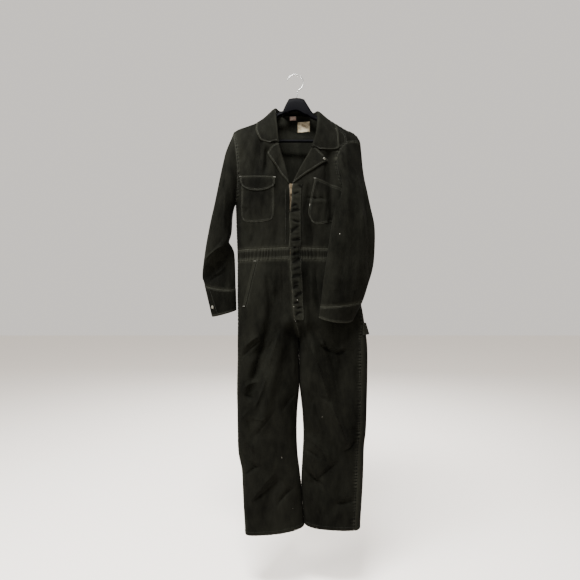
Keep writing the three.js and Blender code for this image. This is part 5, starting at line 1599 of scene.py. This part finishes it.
across, row = np.linspace(0, 1, 40)[None], np.linspace(0, 1, 16)[:, None]
around, down = np.broadcast_arrays(mix(*LOOP_ENDS, across), mix(*LOOP_DOWN, row))
off = LOOP_THICK + 0.6 + mix(*LOOP_STANDS, row) * np.sin(np.pi * np.clip(across, 0, 1)) ** 0.8
grid = lower_place(LEFT, around, down) + lower_normal(LEFT, around, down) * off[..., None]
hammer_loop = sewn_piece("hammer_loop", grid, 1, held="stretched", thickness=LOOP_THICK,
                         rests_on=["front_leg_left", "back_leg_left"], fade=0.35 + 0 * grid[..., 0])
lines = [edge_line(hammer_loop, edge, 3, 0.02, 0.98) for edge in ("bottom", "top", "left", "right")]
stitches("loop_stitching", lines)


# Zip: two woven cotton tapes sewn behind the fronts' edges, each carrying a row of brass teeth.
# One strip stands for both tapes, because the closed teeth cover the line where they meet.
ZIP_TOP_ROW, ZIP_BEHIND, TAPE_HALF, TAPE_THICK = 0.55, 2.9, 12, 0.8
TOOTH_PITCH, TOOTH_WIDE, TOOTH_TALL, TOOTH_HIGH, TOOTH_OFF = 2.1, 3.2, 1.15, 1.9, 0.9


def opening_line(side, inset=0.0):
    """Down the opening's edge over bodice, waistband and leg, at a distance in from the edge."""
    line, facing = [], []
    for sewn, downward in ((fronts[side], -1), (bands[side], -1), (panels[side, "front"], 1)):
        points, normal = edge_line(sewn, "left", inset)
        line.append(points[::downward])
        facing.append(normal[::downward])
    return np.concatenate(line), np.concatenate(facing)


def at_down(points, values, down):
    """Values along a line of points, read at the given distances down."""
    order = np.argsort(-points[:, 2])
    return np.stack([np.interp(down, -points[order, 2], values[order, k]) for k in range(3)], axis=1)


zip_top = (openings[RIGHT]("down", ZIP_TOP_ROW) + openings[LEFT]("down", ZIP_TOP_ROW)) / 2
zip_down = np.arange(zip_top, FLY_END, TOOTH_PITCH / 2)
edges = [opening_line(side)[0] for side in (RIGHT, LEFT)]
right_edge, left_edge = (at_down(edge, edge, zip_down) for edge in edges)
zip_x = (right_edge[:, 0] + left_edge[:, 0]) / 2
zip_y = np.maximum(right_edge[:, 1], left_edge[:, 1])
zip_y = np.convolve(np.pad(zip_y, 12, mode="edge"), np.ones(25) / 25, mode="valid") + ZIP_BEHIND


def plain_material(name, colour, roughness, other, metallic=0.0, scale=60.0, specular=0.3):
    """One colour mottled towards another by a fine noise."""
    finish = bpy.data.materials.new(name)
    finish.use_nodes = True
    nodes, links = finish.node_tree.nodes, finish.node_tree.links
    shader = nodes["Principled BSDF"]
    shader.inputs["Roughness"].default_value = roughness
    shader.inputs["Metallic"].default_value = metallic
    shader.inputs["Specular IOR Level"].default_value = specular
    where = nodes.new("ShaderNodeTexCoord")
    noise = nodes.new("ShaderNodeTexNoise")
    noise.inputs["Scale"].default_value = scale
    noise.inputs["Detail"].default_value = 6
    ramp = nodes.new("ShaderNodeValToRGB")
    ramp.color_ramp.elements[0].position = 0.35
    ramp.color_ramp.elements[0].color = (*other, 1)
    ramp.color_ramp.elements[1].position = 0.6
    ramp.color_ramp.elements[1].color = (*colour, 1)
    links.new(where.outputs["Object"], noise.inputs["Vector"])
    links.new(noise.outputs["Fac"], ramp.inputs["Fac"])
    links.new(ramp.outputs["Color"], shader.inputs["Base Color"])
    return finish


tape_cloth = plain_material("zip_tape", (0.16, 0.132, 0.10), 0.85, other=(0.10, 0.082, 0.062))
brass = plain_material("brass", (0.15, 0.118, 0.074), 0.42, metallic=1.0, other=(0.085, 0.066, 0.04))
tape_across = np.linspace(-TAPE_HALF, TAPE_HALF, 13)[None]
tape = np.stack(np.broadcast_arrays(zip_x[::2, None] + tape_across, zip_y[::2, None],
                                    -zip_down[::2, None]), axis=-1)
zip_tape = layer("zip_tape", tape[::-1], TAPE_THICK, "front", tape_cloth)
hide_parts("zip")
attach(zip_tape["obj"], "suit")
cut_of(zip_tape)


def teeth():
    """Every other tooth belongs to the other tape: it reaches past the middle between two more."""
    section = ((-1, 0), (1, 0), (0.75, -1), (-0.75, -1))
    corner = np.array([[x, y, z] for z in (-1, 1) for x, y in section])
    sides_of_tooth = [[0, 1, 2, 3], [7, 6, 5, 4], [0, 4, 5, 1], [1, 5, 6, 2], [2, 6, 7, 3],
                      [3, 7, 4, 0]]
    centre = place(zip_x, zip_y, zip_down)
    centre[:, 0] += np.where(np.arange(len(centre)) % 2, TOOTH_OFF, -TOOTH_OFF)
    size = np.array([TOOTH_WIDE / 2, TOOTH_HIGH, TOOTH_TALL / 2])
    points = (centre[:, None] + corner * size).reshape(-1, 3)
    faces = [8 * np.arange(len(centre))[:, None] + f for f in sides_of_tooth]
    return object_of("zip_teeth", points, faces, brass, sharp=30)


zip_teeth = teeth()
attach(zip_teeth, "suit")


# Zip slider and pull tab: dulled brass castings, shown by the solids themselves with their edges
# rounded. The slider sits on the teeth and the tab swings on the slider's bridge.
CAST_EDGE = 0.3
for node in ("zip_slider", "zip_pull_tab"):
    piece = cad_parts[node]
    piece.data.materials.clear()
    piece.data.materials.append(brass)
    bevel = piece.modifiers.new("edges", "BEVEL")
    bevel.width = CAST_EDGE * MM
    bevel.segments = 2


# Fly placket: a strip on the wearer's left front that hides the zip. The tape behind it doesn't
# shrink but the cloth has, so it is drawn into uneven slanting puckers. Its table gives each
# pucker's two ends, as distances in from the free edge and down, then bow, width and depth.
PLACKET_WIDE, PLACKET_LIFT, PLACKET_THICK = 34, 1.0, 1.2
PLACKET_OVER, PLACKET_CROWN, PLACKET_COLUMNS = 7, 3.0, 21
PLACKET_PUCKERS = [
    [20, 420, 36, 432, 0, 4, -2.4],
    [6, 455, 26, 447, 0, 4, -1.5],
    [2, 500, 20, 490, 1, 4, -1.7],
    [3, 517, 32, 509, 2, 5, -2.8],
    [10, 545, 30, 553, -2, 4, -1.5],
    [4, 592, 28, 568, 3, 5, -2.8],
    [8, 618, 36, 612, -2, 5, -2.3],
    [4, 638, 22, 645, 0, 4, -1.3],
    [10, 671, 36, 666, 2, 5, -2.8],
    [6, 698, 34, 681, -2, 5, -2.6],
    [14, 722, 32, 715, 1, 4, -1.5],
    [4, 751, 32, 741, 3, 5, -2.6],
    [8, 773, 24, 765, 0, 4, -1.3],
    [2, 791, 24, 777, 2, 5, -2.2],
    [8, 818, 34, 799, -2, 5, -2.4],
    [2, 843, 22, 836, 0, 4, -1.7],
    [12, 862, 32, 852, 1, 4, -1.7],
    [4, 885, 28, 872, 2, 5, -2.2],
]
placket_down = np.linspace(zip_top, FLY_END - 1, 420)
columns = []
for inset in np.linspace(0, PLACKET_WIDE, PLACKET_COLUMNS):
    points, facing = opening_line(LEFT, inset)
    columns.append((at_down(points, points, placket_down), at_down(points, facing, placket_down)))
grid = np.stack([c[0] for c in columns], axis=1)
facing = np.stack([c[1] for c in columns], axis=1)
facing /= np.linalg.norm(facing, axis=2, keepdims=True)
width = np.linspace(0, 1, PLACKET_COLUMNS)[None]
down = placket_down[:, None]
puckers = creases_at(PLACKET_PUCKERS, width * PLACKET_WIDE, down)
crown = PLACKET_CROWN * np.sin(np.pi * np.clip(width * 0.85 + 0.1, 0, 1))
crown = crown * smooth(0, 40, down - zip_top) * (0.8 + 0.2 * np.sin(down / 31))
fine = 0.5 * np.sin((down + 14 * width * np.sin(down / 47)) / 2.9) * np.sin(np.pi * width)
lying = PLACKET_LIFT + PLACKET_THICK
lift = np.maximum(lying + 1.1 + crown + puckers + fine, lying + 0.3)
sway = 1.3 * np.sin(down / 9 + 2 * np.sin(down / 37)) * np.exp(-((width / 0.5) ** 2))
sway = sway * smooth(40, 80, down - zip_top)
grid = grid + facing * (lift - 0.8 * smooth(0.93, 1, width))[..., None]
grid[..., 0] += sway - PLACKET_OVER * (1 - width) * smooth(zip_top + 60, zip_top + 112, down)
# Paler along the free edge. Elsewhere the colour follows the relief: painted shade in the pucker
# troughs and the fine ripples' hollows, and painted highlight on the ripples' crests.
fade = 0.3 * np.exp(-((width / 0.12) ** 2)) + 0.16 + 0.13 * puckers + 0.12 * fine
placket = sewn_piece("fly_placket", grid[::-1], "front", thickness=PLACKET_THICK,
                     rests_on=["front_bodice_left", "front_leg_left"], fade=fade[::-1])
lines = [edge_line(placket, "right", 3), edge_line(placket, "left", 2, 0.02, 0.98)]
stitches("placket_stitching", lines)


# Snaps: pressed metal caps with their plating worn, a rim round a low dome, clenched through the
# cloth. One is on the lapel's point and one on the cuff. The profile holds radius and height.
SNAP_PROFILE = [(0.01, 0), (5.6, 0), (5.6, 0.9), (5.3, 1.35), (4.7, 1.55), (4.2, 1.3), (3.9, 1.15),
                (3.2, 1.5), (2.2, 1.75), (1.1, 1.86), (0, 1.9)]
SNAP_SIDES = 36
snap_metal = plain_material("snap_metal", (0.20, 0.195, 0.17), 0.42, metallic=1.0,
                            other=(0.07, 0.068, 0.055), scale=300.0)


def nearest(sewn, x, down):
    """The place on a layer's front nearest to x and down, and its normal."""
    p, n = sewn["points"], sewn["normals"]
    off = np.hypot(p[..., 0] - x, p[..., 2] + down) + np.where(n[..., 1] < 0, 0, 1e3)
    j, i = np.unravel_index(off.argmin(), off.shape)
    return p[j, i], n[j, i]


def snap(name, spot, up):
    """A snap's cap, turned about the cloth's normal and closed underneath."""
    side_way = np.cross(up, [0, 0, 1])
    side_way /= np.linalg.norm(side_way)
    other = np.cross(side_way, up)
    turn = np.linspace(0, 2 * np.pi, SNAP_SIDES, endpoint=False)[:, None]
    round_it = side_way * np.cos(turn) + other * np.sin(turn)
    points = np.concatenate([spot + up * high + wide * round_it for wide, high in SNAP_PROFILE])
    faces = []
    for k in range(len(SNAP_PROFILE) - 1):
        a = k * SNAP_SIDES + np.arange(SNAP_SIDES)
        b = k * SNAP_SIDES + (np.arange(SNAP_SIDES) + 1) % SNAP_SIDES
        faces.append(np.stack([a, b, b + SNAP_SIDES, a + SNAP_SIDES], axis=1))
    obj = object_of(f"{name}_cap", points, faces, snap_metal, sharp=40)
    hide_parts(name)
    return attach(obj, "suit")


spot, up = nearest(left_lapel, 101, 327)
snap("lapel_snap", spot, up)
form, last = sleeve_form(RIGHT)
snap_at = form(np.array([[0.13]]), np.array([[last - 0.3]]))[0, 0]
spot, up = nearest(cuffs[RIGHT], snap_at[0], -snap_at[2])
snap("cuff_snap", spot, up)


# Paint: four small splashes of pale paint, dried thin on the cloth's face. Two are on the placket
# and one is on each leg. The table holds the layer, x, down and length.
SPLASHES = [(placket, -8.6, 852, 3.4), (placket, 4.2, 828, 2.6),
            (panels[RIGHT, "front"], -51, 1394, 3), (panels[LEFT, "front"], 92.5, 1248, 3)]
splash_paint = plain_material("splash_paint", (0.26, 0.25, 0.22), 0.8, other=(0.18, 0.17, 0.14))
lines = []
for sewn, x, down, long in SPLASHES:
    spot, up = nearest(sewn, x, down)
    half = np.array([long / 2, 0, -long / 4])
    lines.append((np.array([spot - half, spot + half]), np.array([up, up])))
stitches("paint_splashes", lines, splash_paint, pitch=3.4, long=3, wide=1.5, high=0.4)


# Labels: two blank woven patches inside the back neck, stained with age. Each lies on the back's
# inner face and is stitched down round its edges. The table holds both sides, top, foot and tilt.
label_finish = {
    "neck_label": plain_material("label_white", (0.31, 0.26, 0.225), 0.9, other=(0.22, 0.12, 0.105),
                                 scale=140.0),
    "size_label": plain_material("label_cream", (0.31, 0.27, 0.19), 0.85, other=(0.13, 0.10, 0.057),
                                 scale=75.0),
}
LABELS = {"neck_label": (-23, 1, 141, 156, 1.5), "size_label": (7, 52, 162, 200, 3)}
LABEL_THICK, LABEL_GAP = 0.6, 0.5
for name, (x0, x1, top, foot, tilt) in LABELS.items():
    x = np.linspace(x0, x1, 24)[None]
    down = np.linspace(foot, top, 18)[:, None] - tilt * (x - x0) / (x1 - x0)
    grid = place(x, back_y(x, down) - CLOTH - LABEL_THICK - LABEL_GAP, down)
    grid[..., 1] += 0.35 * np.sin(x / 5) * np.sin(down / 4)
    label = layer(f"{name}_patch", grid, LABEL_THICK, "front", label_finish[name])
    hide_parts(name)
    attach(label["obj"], "suit")
    cut_of(label)
    lines = [edge_line(label, edge, 1.6, 0.04, 0.96) for edge in ("bottom", "top", "left", "right")]
    stitches(f"{name}_stitching", lines, pitch=3.2, long=2.2, wide=0.6, high=0.5)


# Hanger: one black plastic moulding of hub and arms that the shoulders lie on, a round trouser
# bar between the arms' ends, and a plated steel hook set in the hub.
hanger_rows = reader(["x", "top", "bottom", "half"], [
    [-200, 0, 254, 6], [-184, 0, 254, 7], [-176, 0, 222, 7], [-140, 0, 199, 7], [-100, 0, 180, 7],
    [-74, 0, 164, 7], [-63, 137, 154, 8], [-37, 107, 143, 9], [-26, 88, 139, 9], [-11, 85, 134, 9],
    [2, 84, 133, 9], [15, 85, 138, 9], [30, 89, 147, 9], [41, 107, 150, 9], [56, 131, 160, 8],
    [70, 149, 167, 7], [78, 0, 170, 7], [100, 0, 182, 7], [140, 0, 203, 7], [176, 0, 224, 7],
    [184, 0, 254, 7], [200, 0, 254, 6],
])
HUB_ENDS, BELOW_RIDGE = (-74, 78), 1.6 + 1.1
HANGER_STATIONS = [-200, -192, -184, -176, -155, -140, -120, -100, -86, -74, -63, -50, -37, -26,
                   -11, 2, 15, 30, 41, 56, 70, 78, 88, 100, 120, 140, 155, 176, 184, 192, 200]
HANGER_SECTION = [(0, 0, 0), (0.3, 2.2, 0), (0.7, 5, 0), (1, 10, 0), (1, -4, 1), (0.5, 0, 1),
                  (-0.5, 0, 1), (-1, -4, 1), (-1, 10, 0), (-0.7, 5, 0), (-0.3, 2.2, 0)]
plastic = plain_material("hanger_plastic", (0.0008, 0.0008, 0.0013), 0.6,
                         other=(0.0005, 0.0005, 0.0009), specular=0.03)
steel = plain_material("hook_steel", (0.40, 0.40, 0.385), 0.3, metallic=1.0,
                       other=(0.16, 0.16, 0.155))


def ring_mesh(name, rings, finish, sharp=35):
    """A skin over rings of points of one count, with a fan over each end."""
    count, wide = len(rings), len(rings[0])
    points = np.concatenate([*rings, rings[0].mean(axis=0)[None], rings[-1].mean(axis=0)[None]])
    i = np.arange(wide)
    j = (i + 1) % wide
    faces = [np.stack([k * wide + i, k * wide + j, (k + 1) * wide + j, (k + 1) * wide + i], axis=1)
             for k in range(count - 1)]
    faces.append(np.stack([np.full(wide, count * wide), j, i], axis=1))
    end = (count - 1) * wide
    faces.append(np.stack([np.full(wide, count * wide + 1), end + i, end + j], axis=1))
    return object_of(name, points, faces, finish, sharp=sharp)


def rounded(points):
    """Cuts each corner of a closed section, which leaves soft edges as a mould does."""
    ahead = np.roll(points, -1, axis=0)
    return np.stack([mix(points, ahead, 0.25), mix(points, ahead, 0.75)], axis=1).reshape(-1, 3)


def arm_top(x):
    """The hub's own top between its ends, and a little under the shoulders' ridge beyond them."""
    return hanger_rows("top", x) if HUB_ENDS[0] < x < HUB_ENDS[1] else ridge(x) + BELOW_RIDGE


stations = np.unique(np.concatenate([np.linspace(a, b, 5) for a, b in
                                     zip(HANGER_STATIONS[:-1], HANGER_STATIONS[1:])]))
rings = []
for x in stations:
    low = max(s for s in HANGER_STATIONS if s <= x)
    high = min(s for s in HANGER_STATIONS if s >= x)
    share = 0 if high == low else (x - low) / (high - low)
    top = mix(arm_top(low), arm_top(high), share)
    bottom = mix(*[hanger_rows("bottom", s) for s in (low, high)], share)
    half = mix(*[hanger_rows("half", s) for s in (low, high)], share)
    section = [[x, y * half, -((bottom if foot else top) + off)] for y, off, foot in HANGER_SECTION]
    rings.append(rounded(np.array(section)))
hanger = ring_mesh("hanger_moulding", rings, plastic)
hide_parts("hanger_body")
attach(hanger, "suit")


def wire(name, path, radius, finish, sides=16):
    """A round wire or bar along a path in the mid plane."""
    way = np.gradient(path, axis=0)
    way /= np.linalg.norm(way, axis=1, keepdims=True)
    flat = np.array([0.0, 1.0, 0.0])
    other = np.cross(way, flat)
    other /= np.linalg.norm(other, axis=1, keepdims=True)
    turn = np.linspace(0, 2 * np.pi, sides, endpoint=False)[:, None]
    rings = [p + radius * (flat * np.cos(turn) + o * np.sin(turn)) for p, o in zip(path, other)]
    return ring_mesh(name, rings, finish, sharp=50)


BAR_DOWN, BAR_RADIUS, BAR_END = 244, 5.5, 179.2
bar_line = place(np.linspace(-BAR_END, BAR_END, 40), 0, BAR_DOWN)
bar = wire("trouser_bar", bar_line, BAR_RADIUS, plastic, sides=28)
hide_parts("hanger_bar")
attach(bar, "suit")

HOOK_WIRE, HOOK_BEND, HOOK_X = 2, 30, -3
turn = np.radians(np.linspace(163, -15, 60))
arc = np.stack([HOOK_X + HOOK_BEND * np.cos(turn), 0 * turn,
                HOOK_WIRE - HOOK_BEND + HOOK_BEND * np.sin(turn)], axis=1)
STEM_FOOT = 83.6
stem_table = reader(["down", "x"], [[36, 26], [48, 20], [56, 9], [64, 4], [74, 3], [STEM_FOOT, 3]])
stem_down = np.linspace(-arc[-1, 2] + 1.5, STEM_FOOT, 40)
stem = place(stem_table("x", stem_down), 0, stem_down)
hook = wire("hook_wire", np.concatenate([arc, stem]), HOOK_WIRE, steel)
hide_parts("hanger_hook")
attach(hook, "suit")


# Studio: a plain pale floor some way under the hems, soft light from the front, the left and
# behind, and the camera level with the middle of the suit, at the photograph's viewing angle.
FLOOR_DOWN, FLOOR_HALF = 1900, 9000
PALE = (0.92, 0.87, 0.81)
floor_paint = bpy.data.materials.new("floor")
floor_paint.use_nodes = True
floor_shader = floor_paint.node_tree.nodes["Principled BSDF"]
floor_shader.inputs["Base Color"].default_value = (*PALE, 1)
floor_shader.inputs["Roughness"].default_value = 0.9
corners = [(-1, -1), (1, -1), (1, 1), (-1, 1)]
floor = object_of("floor", [[x * FLOOR_HALF, y * FLOOR_HALF, -FLOOR_DOWN] for x, y in corners],
                  [[[0, 1, 2, 3]]], floor_paint)
floor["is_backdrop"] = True

world = bpy.data.worlds.new("room")
bpy.context.scene.world = world
world.use_nodes = True
world.node_tree.nodes["Background"].inputs["Color"].default_value = (*PALE, 1)
world.node_tree.nodes["Background"].inputs["Strength"].default_value = 1.0


def softbox(name, place_m, aim_m, size_m, watts):
    """A rectangular light aimed at a place."""
    light = bpy.data.lights.new(name, "AREA")
    light.shape = "RECTANGLE"
    light.size, light.size_y = size_m
    light.energy = watts
    obj = bpy.data.objects.new(name, light)
    bpy.context.scene.collection.objects.link(obj)
    obj.location = place_m
    way = Vector(aim_m) - Vector(place_m)
    obj.rotation_euler = way.to_track_quat("-Z", "Y").to_euler()


softbox("ceiling_light", (-0.5, -1.3, 1.5), (0, 0, -0.7), (1.2, 0.5), 290)
softbox("window_light", (-2.6, -1.6, 0.2), (0, 0, -0.8), (0.9, 1.4), 110)
softbox("back_light", (0.2, 2.6, 0.9), (0, 0, -0.8), (1.0, 1.0), 150)

CAMERA_PLACE_M = (-0.022, -1.607, -0.793)
LENS, SENSOR_WIDE = 27.04, 36
camera = bpy.data.objects.new("camera", bpy.data.cameras.new("camera"))
bpy.context.scene.collection.objects.link(camera)
camera.location = CAMERA_PLACE_M
camera.rotation_euler = (math.radians(90), 0, 0)
camera.data.lens = LENS
camera.data.sensor_width = SENSOR_WIDE
bpy.context.scene.camera = camera

low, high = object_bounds()
